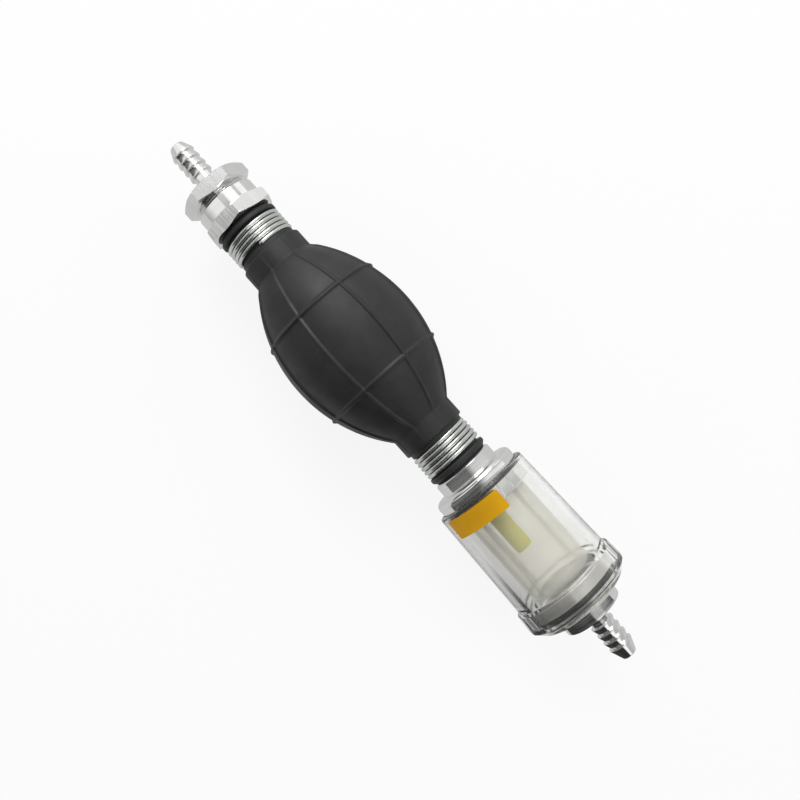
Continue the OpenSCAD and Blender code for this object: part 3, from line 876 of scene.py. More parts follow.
@dataclass
class HexBar:
    """Hexagon with its corners turned off at both ends."""

    across_flats: float
    near: float
    far: float
    corner_angle: float
    near_inset: float = 0.15
    far_inset: float = 0.15
    chamfer: float = 26.0
    half_flat: float = 30.0

    @property
    def near_radius(self) -> float:
        """Radius where the chamfer starts on the end face towards the bulb."""
        return self.across_flats / 2 - self.near_inset

    @property
    def far_radius(self) -> float:
        """Radius where the chamfer starts on the other end face."""
        return self.across_flats / 2 - self.far_inset

    def radius(self, angle: float) -> float:
        """Radius of the hexagon at an angle in radians."""
        half = self.half_flat
        turn = (math.degrees(angle) - self.corner_angle + half) % (2 * half) - half
        return self.across_flats / 2 / math.cos(math.radians(half - abs(turn)))

    def drop(self, angle: float, start: float) -> float:
        """How far a chamfer that starts at a radius reaches along the bar at an angle."""
        return (self.radius(angle) - start) * math.tan(math.radians(self.chamfer))

    def near_ring(self, angle: float) -> Point:
        """Edge of the flats towards the bulb."""
        return self.near + self.drop(angle, self.near_radius), self.radius(angle)

    def far_ring(self, angle: float) -> Point:
        """Edge of the flats away from the bulb."""
        return self.far - self.drop(angle, self.far_radius), self.radius(angle)


@dataclass
class BarbedTail:
    """Hose tail with saw-tooth barbs, for hose of 8 mm bore."""

    root: float
    tip: float
    lead: float
    crest_radius: float
    root_radius: float = 3.75
    tip_radius: float = 2.95
    pitch: float = 3.3
    count: int = 4
    land: float = 0.5
    tip_chamfer: float = 0.25
    bore: float = 2.1

    def corners(self) -> list[Corner]:
        """Profile from the root to the bore at the tip."""
        found: list[Corner] = [(self.root, self.root_radius, 0.3)]
        for k in reversed(range(self.count)):
            crest = self.tip - self.lead - k * self.pitch
            found += [
                (crest, self.root_radius, 0.12),
                (crest, self.crest_radius, 0.14),
                (crest + self.land, self.crest_radius, 0.3),
            ]
        found += [
            (self.tip - self.tip_chamfer, self.tip_radius, 0.2),
            (self.tip, self.tip_radius - self.tip_chamfer, 0.1),
            (self.tip, self.bore, 0.1),
        ]
        return found


@dataclass
class WireCoil:
    """Round wire wound right-handed round the axis, outwards or, if reversed, towards the bulb."""

    side: Side
    start: float
    pitch: float
    turns: float
    radius: float
    wire: float
    first_angle: float
    rings: int = 64
    sides: int = 18
    reverse: bool = False
    blunt_share: float = 0.12

    @property
    def heading(self) -> int:
        """1 for a coil that runs outwards and -1 for a reversed one."""
        return -1 if self.reverse else 1

    def build(self, name: str, finish: Finish) -> bpy.types.Object:
        """Builds the coil as one unbroken tube.

        Args:
            name: Name of the piece.
            finish: Its finish.

        Returns:
            The coil.
        """
        bm = bmesh.new()
        path, frames = [], []
        sense = -self.side.value * self.heading
        slope = self.pitch / (2 * math.pi * self.radius)
        advance = Vector((self.side.value * self.heading, 0, 0)) * slope
        for i in range(round(self.turns * self.rings) + 1):
            turned = i / self.rings
            angle = math.radians(self.first_angle) + sense * 2 * math.pi * turned
            out = Vector((0, math.sin(angle), math.cos(angle)))
            station = self.start + self.pitch * turned * self.heading
            path.append(Vector((self.side.x(station), 0, AXIS_HEIGHT)) + out * self.radius)
            round_it = Vector((0, math.cos(angle), -math.sin(angle))) * sense
            along = (round_it + advance).normalized()
            frames.append((out, along.cross(out).normalized()))
        tube_along(bm, path, frames, self.wire / 2, self.sides, self.blunt_share * self.wire)
        return make_piece(name, bm, Shade.SOFT, finish)


@dataclass
class OutletFitting:
    """Hose tail, sealing washer and valve body at the outlet end."""

    tail_hex: HexBar
    body_hex: HexBar
    tail: BarbedTail
    plug_radius: float = 7.0
    plug_end: float = 64.4
    undercut_depth: float = 0.4
    undercut_from: float = 1.2
    undercut_to: float = 1.0
    washer_radius: float = 9.4
    washer_near: float = 71.2
    band_radius: float = 12.0
    band_far: float = 70.1
    face_radius: float = 10.2
    spigot_radius: float = 8.5
    spigot_end: float = 40.9
    seat_bore: float = 3.3
    chamber: float = 5.6
    valve_seat: float = 52.8
    gap: float = 0.05

    def build(self) -> None:
        """Builds and seats the three pieces."""
        self._hose_tail()
        self._washer()
        self._valve_body()

    def _hose_tail(self) -> None:
        """Hexagon, barbed tail and threaded plug, one turned piece."""
        h, bore = self.tail_hex, self.tail.bore
        undercut = self.plug_radius - self.undercut_depth
        inner = rounded(
            [
                (self.plug_end, bore, 0.0),
                (self.plug_end, self.plug_radius, 0.5),
                (h.near - self.undercut_from, self.plug_radius, 0.1),
                (h.near - self.undercut_to, undercut, 0.1),
                (h.near, undercut, 0.1),
                (h.near, h.near_radius, 0.0),
            ]
        )
        outer = rounded(
            [(h.far, h.far_radius, 0.0), *self.tail.corners(), (self.plug_end, bore, 0.0)]
        )
        piece = self._with_flats("hose_tail_outlet", h, inner, outer)
        seat(piece, "root", "fitting_alloy", "outlet_hose_tail")

    def _with_flats(
        self, name: str, bar: HexBar, inner: Sequence[Point], outer: Sequence[Point]
    ) -> bpy.types.Object:
        """Builds a turned piece that keeps the drawn flats of its bar.

        Args:
            name: Name of the piece.
            bar: Its hexagon.
            inner: Profile from the bore to the hexagon's face towards the bulb.
            outer: Profile from the hexagon's other face back to the first point.

        Returns:
            The piece, with the flats in its second material slot.
        """
        skin = Skin(Side.OUTLET, even_columns(Columns.HEXAGON, bar.corner_angle))
        flats = [skin.shaped(bar.near_ring), skin.shaped(bar.far_ring)]
        bm = bmesh.new()
        rings = skin.plain(inner) + flats + skin.plain(outer[:-1])
        skin.lay(bm, rings, lambda i: int(i == len(inner)))
        return make_piece(name, bm, Shade.TURNED, BRIGHT_TURNED, BRIGHT_DRAWN)

    def _washer(self) -> None:
        """Soft metal sealing washer under the hexagon."""
        near, far = self.washer_near, self.tail_hex.near
        inner = self.plug_radius + self.gap
        bm = Skin(Side.OUTLET, even_columns(Columns.RING)).revolved(
            [
                ((near + far) / 2, inner, 0.0),
                (near, inner, 0.1),
                (near, self.washer_radius, 0.25),
                (far, self.washer_radius, 0.25),
                (far, inner, 0.1),
                ((near + far) / 2, inner, 0.0),
            ]
        )
        piece = make_piece("washer_outlet", bm, Shade.SOFT, BRIGHT_TURNED)
        seat(piece, "root", "fitting_alloy", "outlet_washer")

    def _valve_body(self) -> None:
        """Hexagon, plain band and the spigot that holds the outlet valve."""
        h = self.body_hex
        inner = rounded(
            [
                (self.valve_seat, self.seat_bore, 0.0),
                (self.spigot_end, self.seat_bore, 0.2),
                (self.spigot_end, self.spigot_radius, 0.5),
                (h.near, self.spigot_radius, 0.15),
                (h.near, h.near_radius, 0.0),
            ]
        )
        socket = self.plug_radius + self.gap
        outer = rounded(
            [
                (h.far, h.far_radius, 0.0),
                (h.far, self.band_radius, 0.1),
                (self.band_far, self.band_radius, 0.15),
                (self.washer_near, self.face_radius, 0.15),
                (self.washer_near, socket, 0.2),
                (self.plug_end, socket, 0.1),
                (self.plug_end, self.chamber, 0.1),
                (self.valve_seat, self.chamber, 0.1),
                (self.valve_seat, self.seat_bore, 0.0),
            ]
        )
        piece = self._with_flats("valve_body_outlet", h, inner, outer)
        seat(piece, "root", "fitting_alloy", "outlet_valve_body")


@dataclass(frozen=True)
class Ridge:
    """Section of a moulded rib, in half widths: a rounded crown between two soft feet."""

    crown: float = 0.8
    foot: float = 1.6
    crown_drop: float = 0.45
    foot_height: float = 0.55
    foot_swell: float = 0.35

    def height(self, offset: float, half: float) -> float:
        """Share of the rib's height at an offset from its middle, for a half width."""
        u = abs(offset) / half
        if u >= self.foot:
            return 0.0
        if u <= self.crown:
            return 1 - self.crown_drop * (u / self.crown) ** 2
        t = (u - self.crown) / (self.foot - self.crown)
        return self.foot_height * (1 - t) ** 2 * (1 + self.foot_swell * t)


@dataclass
class RubberBulb:
    """The ribbed bulb with its collars, necks and lips, moulded in one.

    The long ribs keep their full height over the belly and half of it over the collars, and end
    before the collars do. Columns lie at the rib_side offsets from the middle of each long rib, and
    rings at the ring_side ones, in half widths, from the middle of each ring rib.
    """

    belly_radius: float = 26.5
    belly_half: float = 37.2
    end_radius: float = 13.0
    wall: float = 3.2
    collar_draft: float = 0.4
    collar_radius: float = 12.8
    collar_end: float = 44.9
    shoulder_draft: float = 0.15
    shoulder_radius: float = 11.6
    clamp_draft: float = 0.4
    seat_radius: float = 10.58
    land_end: float = 56.3
    lip_radius: float = 12.3
    lip_end: float = 59.3
    lip_chamfer: float = 1.5
    mouth_radius: float = 8.55
    mouth_depth: float = 2.0
    bore_stations: tuple[float, ...] = (56.3, 46.0, 36.2)
    hollow_half: float = 34.2
    ridge: Ridge = Ridge()
    rib_count: int = 8
    first_rib: float = 26.0
    rib_height: float = 0.62
    rib_half: float = 0.6
    rib_full_until: float = 1.5
    rib_ends_before: float = 0.8
    collar_share: float = 0.5
    crossing_share: float = 0.3
    ring_place: float = 17.0
    ring_height: float = 0.72
    ring_half: float = 0.75
    ring_room: float = 1.7
    outlet_clamp: float = 8.9
    inlet_clamp: float = 9.3
    ring_step: float = 1.35
    last_ring: float = 36.9
    hollow_steps: int = 12
    between: int = 14
    rib_side: tuple[float, ...] = (0.25, 0.5, 0.72, 0.95, 1.25, 2.0)
    ring_side: tuple[float, ...] = (0.3, 0.55, 0.8, 1.0, 1.3, 1.6)

    def __post_init__(self) -> None:
        """Works out the arc of the belly."""
        sag = self.belly_radius - self.end_radius
        self.arc = (self.belly_half**2 + sag**2) / (2 * sag)
        self.arc_centre = self.arc - self.belly_radius

    def belly(self, station: float) -> float:
        """Radius of the plain belly at a station on either side."""
        return math.sqrt(self.arc**2 - station**2) - self.arc_centre

    @staticmethod
    def both_sides(offsets: Sequence[float]) -> list[float]:
        """Offsets on both sides of a middle, with the middle itself, in order."""
        return [*(-offset for offset in reversed(offsets)), 0.0, *offsets]

    def neck(self, sign: int) -> list[Point]:
        """Outer profile of one neck from the collar to the mouth, on signed stations."""
        clamp = self.inlet_clamp if sign > 0 else self.outlet_clamp
        clamp_from = self.land_end - clamp
        corners = [
            (self.belly_half, self.end_radius, 0.0),
            (self.belly_half + self.collar_draft, self.collar_radius, 0.4),
            (self.collar_end, self.collar_radius, 0.7),
            (self.collar_end + self.shoulder_draft, self.shoulder_radius, 0.4),
            (clamp_from - self.clamp_draft, self.shoulder_radius, 0.4),
            (clamp_from, self.seat_radius, 0.3),
            (self.land_end, self.seat_radius, 0.3),
            (self.land_end, self.lip_radius, 0.5),
            (self.lip_end - self.lip_chamfer, self.lip_radius, 0.5),
            (self.lip_end, self.lip_radius - self.lip_chamfer, 0.4),
            (self.lip_end, self.mouth_radius, 0.3),
            (self.lip_end - self.mouth_depth, self.mouth_radius, 0.0),
        ]
        return [(sign * s, r) for s, r in rounded(corners)]

    def stations(self) -> list[float]:
        """Stations of the rings over the belly, closer together at the ring ribs."""
        side = [i * self.ring_step for i in range(1, int(self.belly_half / self.ring_step) + 1)]
        room = self.ring_room * self.ring_half
        marks = [m for m in self.both_sides(side) if abs(abs(m) - self.ring_place) > room]
        near = [offset * self.ring_half for offset in self.both_sides(self.ring_side)]
        marks += [sign * (self.ring_place + n) for sign in (-1, 1) for n in near]
        return sorted(m for m in marks if abs(m) < self.last_ring)

    def rib_share(self, station: float) -> float:
        """How tall the long ribs stand at a signed station."""
        s = abs(station)
        if s <= self.belly_half - self.rib_full_until:
            return 1.0
        if s <= self.collar_end - self.rib_ends_before:
            return self.collar_share
        return 0.0

    def columns(self, radius: float) -> list[tuple[float, float]]:
        """Angle and rib height share of each column, for ribs of constant width at a radius."""
        found = []
        spread = 2 * math.pi / self.rib_count
        edge = self.rib_side[-1] / radius
        room = spread - 2 * edge
        for k in range(self.rib_count):
            middle = math.radians(self.first_rib) + k * spread
            for offset in self.both_sides(self.rib_side):
                found.append((middle + offset / radius, self.ridge.height(offset, self.rib_half)))
            for i in range(1, self.between):
                found.append((middle + edge + room * i / self.between, 0.0))
        return found

    def build(self) -> None:
        """Builds and seats the bulb."""
        bm = bmesh.new()
        rows = [self._outer_row(bm, s, r, ring) for s, r, ring in self._outside()]
        for s, r in self._inside():
            columns = self.columns(max(r, self.seat_radius))
            rows.append([bm.verts.new(around(BULB_MIDDLE + s, r, angle)) for angle, _ in columns])
        bridge(bm, [*rows, rows[0]])
        seat(make_piece("rubber_bulb", bm, Shade.SOFT, BULB_RUBBER), "root", "bulb_rubber", "bulb")

    def _outside(self) -> list[tuple[float, float, float]]:
        """Signed station, plain radius and ring rib's height of each outer row, mouth to mouth."""
        outlet = [(s, r, 0.0) for s, r in reversed(self.neck(-1))]
        belly = []
        for s in self.stations():
            ring = self.ridge.height(abs(s) - self.ring_place, self.ring_half)
            belly.append((s, self.belly(s), ring * self.ring_height))
        return outlet + belly + [(s, r, 0.0) for s, r in self.neck(1)]

    def _inside(self) -> list[Point]:
        """Signed station and radius of each inner row, from the inlet's mouth to the outlet's."""
        bore = [(s, self.mouth_radius) for s in self.bore_stations]
        reach, steps = self.hollow_half, self.hollow_steps
        hollow = [reach - i * reach / steps for i in range(steps + 1)]
        half = bore + [(s, max(self.belly(s) - self.wall, self.mouth_radius)) for s in hollow]
        return half + [(-s, r) for s, r in reversed(half[:-1])]

    def _outer_row(
        self, bm: bmesh.types.BMesh, station: float, plain: float, ring: float
    ) -> list[bmesh.types.BMVert]:
        """Adds the points of one outer row, raised where the ribs run and cross."""
        row = []
        tall = self.rib_share(station) * self.rib_height
        for angle, share in self.columns(max(plain, self.seat_radius)):
            rib = share * tall
            radius = plain + max(ring, rib) + self.crossing_share * min(ring, rib)
            row.append(bm.verts.new(around(BULB_MIDDLE + station, radius, angle)))
        return row


@dataclass
class WireClamps:
    """The two wound wire clamps, pressed on the necks."""

    land_end: float = 56.3
    lip_gap: float = 0.25
    pitch: float = 1.82
    wire: float = 1.62
    seat_radius: float = 10.58
    outlet_turns: float = 4.3
    inlet_turns: float = 4.5
    outlet_angle: float = -4.0
    inlet_angle: float = 75.0

    def build(self) -> None:
        """Builds and seats both clamps."""
        radius = self.seat_radius + self.wire / 2
        for side, turns, angle in (
            (Side.OUTLET, self.outlet_turns, self.outlet_angle),
            (Side.INLET, self.inlet_turns, self.inlet_angle),
        ):
            start = self.land_end - self.lip_gap - turns * self.pitch - self.wire / 2
            name = side.name.lower() + "_wire_clamp"
            coil = WireCoil(side, start, self.pitch, turns, radius, self.wire, angle)
            seat(coil.build("wound_" + name, CLAMP_WIRE), "root", "clamp_wire", name)


@dataclass
class CheckValves:
    """Springs of the two check valves; their poppets, plate and ring stay CAD solids."""

    mean_radius: float = 2.65
    wire: float = 0.5
    length: float = 9.0
    turns: float = 6.0
    lift: float = 2.0
    outlet_station: float = 55.4
    inlet_station: float = 52.9
    rings: int = 24
    sides: int = 12

    def build(self) -> None:
        """Builds and seats the springs and dresses the solids."""
        pitch = (self.length - self.wire) / self.turns
        for side, station in ((Side.OUTLET, self.outlet_station), (Side.INLET, self.inlet_station)):
            name = side.name.lower()
            coil = WireCoil(
                side,
                station - side.value * self.wire / 2,
                pitch,
                self.turns,
                self.mean_radius,
                self.wire,
                first_angle=0.0,
                rings=self.rings,
                sides=self.sides,
                reverse=side is Side.INLET,
            )
            piece = coil.build(f"valve_spring_{name}", SPRING_STEEL)
            seat(piece, "root", "spring_steel", name + "_spring")
            fixed = side.x(station - side.value * self.length)
            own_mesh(piece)
        self._dress("outlet_poppet", POPPET_BRASS)
        self._dress("inlet_poppet", POPPET_BRASS)
        self._dress("outlet_poppet_seal", SEAL_RUBBER)
        self._dress("inlet_poppet_seal", SEAL_RUBBER)
        self._dress("inlet_spring_plate", SPRING_STEEL)
        self._dress("inlet_snap_ring", SPRING_STEEL)

    @staticmethod
    def _dress(node: str, finish: Finish) -> None:
        """Gives a CAD solid its material."""
        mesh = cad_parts[node].data
        mesh.materials.clear()
        mesh.materials.append(SHOP.get(finish))


@dataclass
class FilterHead:
    """Turned head: spigot with the inlet valve, neck, flange, threaded skirt and nipple."""

    spigot_radius: float = 8.5
    spigot_end: float = 40.9
    chamber: float = 5.6
    valve_seat: float = 55.5
    seat_bore: float = 3.3
    groove_near: float = 41.7
    groove_far: float = 42.5
    groove_radius: float = 6.1
    neck_radius: float = 12.2
    neck_near: float = 59.3
    neck_chamfer: float = 0.8
    flange_near: float = 64.5
    flange_far: float = 69.5
    flange_radius: float = 17.1
    flange_taper: float = 0.2
    flange_round: float = 2.6
    skirt_radius: float = 16.5
    skirt_far: float = 76.8
    socket_radius: float = 13.3
    socket_floor: float = 71.3
    nipple_root: float = 0.6
    nipple_floor: float = 0.3
    nipple_y: float = -2.5
    nipple_far: float = 79.3
    nipple_radius: float = 2.35
    nipple_bore: float = 1.6

    def build(self) -> None:
        """Builds and seats the head."""
        skin = Skin(Side.INLET, even_columns(Columns.BODY))
        profile = rounded(
            [
                (self.flange_near, 0.0, 0.0),
                (self.flange_near, self.seat_bore, 0.1),
                (self.valve_seat, self.seat_bore, 0.1),
                (self.valve_seat, self.chamber, 0.1),
                (self.groove_far, self.chamber, 0.05),
                (self.groove_far, self.groove_radius, 0.05),
                (self.groove_near, self.groove_radius, 0.05),
                (self.groove_near, self.chamber, 0.05),
                (self.spigot_end, self.chamber, 0.1),
                (self.spigot_end, self.spigot_radius, 0.4),
                (self.neck_near, self.spigot_radius, 0.1),
                (self.neck_near, self.neck_radius - self.neck_chamfer, 0.1),
                (self.neck_near + self.neck_chamfer, self.neck_radius, 0.25),
                (self.flange_near, self.neck_radius, 0.35),
                (self.flange_near, self.flange_radius, self.flange_round),
                (self.flange_far, self.flange_radius - self.flange_taper, 0.15),
                (self.flange_far, self.skirt_radius, 0.05),
                (self.skirt_far, self.skirt_radius, 0.5),
                (self.skirt_far, self.socket_radius, 0.2),
                (self.socket_floor, self.socket_radius, 0.2),
                (self.socket_floor, 0.0, 0.0),
            ]
        )
        bm = bmesh.new()
        skin.lay(bm, skin.plain(profile))
        nipple = Skin(Side.INLET, even_columns(Columns.NIPPLE), self.nipple_y)
        root, floor = self.socket_floor - self.nipple_root, self.socket_floor - self.nipple_floor
        tube = rounded(
            [
                (root, 0.0, 0.0),
                (root, self.nipple_radius, 0.0),
                (self.nipple_far, self.nipple_radius, 0.3),
                (self.nipple_far, self.nipple_bore, 0.1),
                (floor, self.nipple_bore, 0.0),
                (floor, 0.0, 0.0),
            ]
        )
        nipple.lay(bm, nipple.plain(tube))
        piece = make_piece("turned_filter_head", bm, Shade.TURNED, BRIGHT_TURNED)
        seat(piece, "root", "fitting_alloy", "filter_head")


@dataclass
class Strainer:
    """Cage, mesh sleeve and drop tube inside the bowl."""

    socket_floor: float = 71.3
    skirt_far: float = 76.8
    ring_radius: float = 13.25
    rib_outer: float = 12.45
    rib_depth: float = 0.9
    rib_width: float = 1.2
    rib_root: float = 0.5
    rib_end: float = 111.6
    rib_count: int = 4
    cap_near: float = 111.1
    cap_far: float = 114.6
    cap_round: float = 2.5
    cap_wall: float = 1.4
    mesh_radius: float = 12.9
    mesh_wall: float = 0.4
    mesh_steps: int = 24
    tube_y: float = -2.5
    tube_radius: float = 3.4
    tube_bore: float = 2.4
    tube_far: float = 97.3

    def build(self) -> None:
        """Builds and seats the three pieces."""
        self._cage()
        self._cloth()
        self._drop_tube()

    def _cage(self) -> None:
        """Ring, ribs and rounded closed end, one moulding."""
        bm = bmesh.new()
        skin = Skin(Side.INLET, even_columns(Columns.RING))
        inner, seam = self.rib_outer - self.rib_depth, self.socket_floor + 2
        ring = rounded(
            [
                (seam, inner, 0.0),
                (self.socket_floor, inner, 0.2),
                (self.socket_floor, self.ring_radius, 0.3),
                (self.skirt_far, self.ring_radius, 0.3),
                (self.skirt_far, inner, 0.2),
                (seam, inner, 0.0),
            ]
        )
        skin.lay(bm, skin.plain(ring[:-1]))
        recess, floor = self.mesh_radius - self.cap_round, self.cap_far - self.cap_wall
        cap = rounded(
            [
                (floor, 0.0, 0.0),
                (floor, recess, 0.4),
                (self.cap_near, recess, 0.1),
                (self.cap_near, self.mesh_radius, 0.1),
                (self.cap_far, self.mesh_radius, self.cap_round),
                (self.cap_far, 0.0, 0.0),
            ],
            steps=10,
        )
        skin.lay(bm, skin.plain(cap))
        for k in range(self.rib_count):
            self._rib(bm, math.radians(360 * (k + 0.5) / self.rib_count), inner)
        piece = make_piece("strainer_cage", bm, Shade.TURNED, CAGE_PLASTIC)
        seat(piece, "root", "strainer_plastic", "filter_cage")

    def _rib(self, bm: bmesh.types.BMesh, angle: float, inner: float) -> None:
        """Adds one rib of the cage as a bar with bent ends on both circles."""
        outer, half = self.rib_outer, self.rib_width / 2
        section = ((inner, -1), (outer, -1), (outer, 0), (outer, 1), (inner, 1), (inner, 0))
        rows = []
        for station in (self.skirt_far - self.rib_root, self.rib_end):
            row = []
            for radius, side in section:
                turn = angle + side * math.asin(half / radius)
                row.append(bm.verts.new(around(Side.INLET.x(station), radius, turn)))
            rows.append(row)
        bridge(bm, rows)
        bm.faces.new(rows[0])
        bm.faces.new(rows[1])

    def _cloth(self) -> None:
        """Woven sleeve round the cage."""
        skin = Skin(Side.INLET, even_columns(Columns.SLEEVE))
        length, steps = self.cap_near - self.skirt_far, self.mesh_steps
        outer = [(self.skirt_far + length * i / steps, self.mesh_radius) for i in range(steps + 1)]
        inner = [(s, self.mesh_radius - self.mesh_wall) for s, _ in reversed(outer)]
        bm = bmesh.new()
        skin.lay(bm, skin.plain(outer + inner))
        piece = make_piece("strainer_sleeve", bm, Shade.TURNED, STRAINER_CLOTH)
        seat(piece, "root", "strainer_plastic", "filter_mesh")

    def _drop_tube(self) -> None:
        """Yellow-green tube on the head's nipple."""
        seam = self.socket_floor + 9
        bm = Skin(Side.INLET, even_columns(Columns.TUBE), self.tube_y).revolved(
            [
                (seam, self.tube_bore, 0.0),
                (self.socket_floor, self.tube_bore, 0.1),
                (self.socket_floor, self.tube_radius, 0.3),
                (self.tube_far, self.tube_radius, 0.3),
                (self.tube_far, self.tube_bore, 0.1),
                (seam, self.tube_bore, 0.0),
            ]
        )
        piece = make_piece("yellow_drop_tube", bm, Shade.TURNED, DROP_TUBE_PLASTIC)
        seat(piece, "root", "tube_plastic", "drop_tube")


@dataclass
class ClearBowl:
    """Clear bowl with its gasket and its sticker."""

    rim: float = 69.5
    rim_radius: float = 19.0
    low_radius: float = 20.2
    grip_near: float = 113.5
    grip_far: float = 121.8
    end: float = 125.1
    grip_radius: float = 21.8
    grip_draft: float = 0.4
    grip_flats: int = 24
    corner_blend: float = 0.75
    near_chamfer: float = 1.0
    end_radius: float = 18.5
    rim_round: float = 1.4
    thread_bore: float = 16.55
    skirt_far: float = 76.8
    relief: float = 0.5
    bore: float = 16.8
    plug_near: float = 115.2
    plug_bore: float = 17.4
    gasket_far: float = 71.3
    gasket_radius: float = 17.15
    gasket_gap: float = 0.05
    sticker_near: float = 72.0
    sticker_far: float = 79.6
    sticker_from: float = -64.0
    sticker_to: float = 10.0
    sticker_skew: float = 0.05
    sticker_thick: float = 0.15
    sticker_lift: float = 0.005
    sticker_corner: float = 0.3
    sticker_grid: tuple[int, int] = (60, 10)

    def wall_radius(self, station: float) -> float:
        """Outer radius of the tapered wall."""
        taper = self.low_radius - self.rim_radius
        return self.rim_radius + taper * (station - self.rim) / (self.grip_near - self.rim)

    def flat_radius(self, angle: float, corner: float) -> float:
        """Radius of the grip at an angle, with slightly rounded corners.

        Args:
            angle: The angle in radians.
            corner: Radius over the corners.

        Returns:
            The radius.
        """
        half = math.pi / self.grip_flats
        turn = abs((angle + half) % (2 * half) - half)
        blend = math.radians(self.corner_blend)

        def flat(t: float) -> float:
            return corner * math.cos(half) / math.cos(half - t)

        if turn >= blend:
            return flat(turn)
        bow = corner * math.tan(half - blend) / (2 * blend)
        return flat(blend) + bow * (blend**2 - turn**2)

    def columns(self) -> list[float]:
        """Columns gathered at the corners of the grip."""
        step = 2 * math.pi / self.grip_flats
        edge = self.corner_blend
        degrees = (-edge, -edge / 2, 0.0, edge / 2, edge, 3.2, 5.6, 7.5, 9.4, 11.8)
        places = [math.radians(d) for d in degrees]
        return [k * step + p for k in range(self.grip_flats) for p in places]

    def build(self) -> None:
        """Builds and seats all the pieces."""
        self._bowl()
        self._gasket()
        self._sticker()

    def _bowl(self) -> None:
        """The bowl: rounded rim, tapered wall, faceted grip and bevel."""
        skin = Skin(Side.INLET, self.columns())
        near_corner = self.grip_radius - self.grip_draft
        chamfer_from = near_corner - self.near_chamfer
        counterbore = self.gasket_radius + self.gasket_gap
        seam = self.rim + 4
        upper = rounded(
            [
                (seam, self.thread_bore, 0.0),
                (self.gasket_far, self.thread_bore, 0.1),
                (self.gasket_far, counterbore, 0.1),
                (self.rim, counterbore, 0.05),
                (self.rim, self.wall_radius(self.rim), self.rim_round),
                (self.grip_near, self.low_radius, 0.4),
                (self.grip_near, chamfer_from, 0.0),
            ],
            steps=8,
        )
        foot = (self.end - self.grip_far) / (self.grip_radius - self.end_radius)

        def near_point(angle: float) -> Point:
            radius = self.flat_radius(angle, near_corner)
            return self.grip_near + radius - chamfer_from, radius

        def far_point(angle: float) -> Point:
            radius = self.flat_radius(angle, self.grip_radius)
            return self.grip_far + (self.grip_radius - radius) * foot, radius

        grip = [skin.shaped(near_point), skin.shaped(far_point)]
        recess = self.skirt_far - self.relief
        inside = rounded(
            [
                (self.end, self.end_radius, 0.0),
                (self.end, self.plug_bore, 0.2),
                (self.plug_near, self.plug_bore, 0.1),
                (self.plug_near, self.bore, 0.1),
                (recess, self.bore, 0.05),
                (recess, self.thread_bore, 0.05),
                (seam, self.thread_bore, 0.0),
            ]
        )
        bm = bmesh.new()
        skin.lay(bm, skin.plain(upper) + grip + skin.plain(inside[:-1]))
        piece = make_piece("clear_bowl", bm, Shade.FACETED, CLEAR_BOWL)
        seat(piece, "bowl", "bowl_plastic", "bowl")

    def _gasket(self) -> None:
        """Black gasket in the counterbore of the rim."""
        middle = (self.rim + self.gasket_far) / 2
        bm = Skin(Side.INLET, even_columns(Columns.SLEEVE)).revolved(
            [
                (middle, self.thread_bore, 0.0),
                (self.rim, self.thread_bore, 0.1),
                (self.rim, self.gasket_radius, 0.25),
                (self.gasket_far, self.gasket_radius, 0.25),
                (self.gasket_far, self.thread_bore, 0.1),
                (middle, self.thread_bore, 0.0),
            ]
        )
        piece = make_piece("rim_gasket", bm, Shade.SOFT, SEAL_RUBBER)
        seat(piece, "gasket", "seal_rubber", "bowl_gasket")

    def _sticker(self) -> None:
        """Unprinted sticker that lies a little askew on the wall's taper."""
        bm = bmesh.new()
        across, along = self.sticker_grid
        top, bottom = [], []
        for i in range(across + 1):
            upper, lower = self._sticker_rows(bm, i / across)
            top.append(upper)
            bottom.append(lower)
        for i in range(across):
            for j in range(along):
                m, n = i + 1, j + 1
                bm.faces.new((top[i][j], top[m][j], top[m][n], top[i][n]))
                bm.faces.new((bottom[i][j], bottom[i][n], bottom[m][n], bottom[m][j]))
        rim = [(i, 0) for i in range(across)] + [(across, j) for j in range(along)]
        rim += [(i, along) for i in range(across, 0, -1)] + [(0, j) for j in range(along, 0, -1)]
        for (i, j), (m, n) in zip(rim, rim[1:] + rim[:1]):
            bm.faces.new((top[i][j], top[m][n], bottom[m][n], bottom[i][j]))
        piece = make_piece("orange_sticker", bm, Shade.TURNED, STICKER_FILM)
        seat(piece, "bowl", "sticker_film", "bowl_sticker")

    def _sticker_rows(
        self, bm: bmesh.types.BMesh, share: float
    ) -> tuple[list[bmesh.types.BMVert], list[bmesh.types.BMVert]]:
        """Adds the sticker's points along the pump at one share of its width.

        Args:
            bm: The mesh that the points are added to.
            share: Share of the way from its first edge to its last.

        Returns:
            The points of its face and those of its back.
        """
        corner, along = self.sticker_corner, self.sticker_grid[1]
        length = self.sticker_far - self.sticker_near
        edge_radius = self.wall_radius(self.sticker_near)
        last_y = edge_radius * math.sin(math.radians(self.sticker_to))
        arc = math.radians(self.sticker_to - self.sticker_from) * edge_radius
        from_edge = min(share, 1 - share) * arc
        inset = 0.0
        if from_edge < corner:
            inset = corner - math.sqrt(max(corner**2 - (corner - from_edge) ** 2, 0.0))
        angle = math.radians(self.sticker_from + (self.sticker_to - self.sticker_from) * share)
        shift = self.sticker_skew * (edge_radius * math.sin(angle) - last_y)
        upper, lower = [], []
        for j in range(along + 1):
            station = self.sticker_near + shift + inset + (length - 2 * inset) * j / along
            wall = self.wall_radius(station)
            for row, lift in ((upper, self.sticker_thick), (lower, self.sticker_lift)):
                row.append(bm.verts.new(around(Side.INLET.x(station), wall + lift, angle)))
        return upper, lower


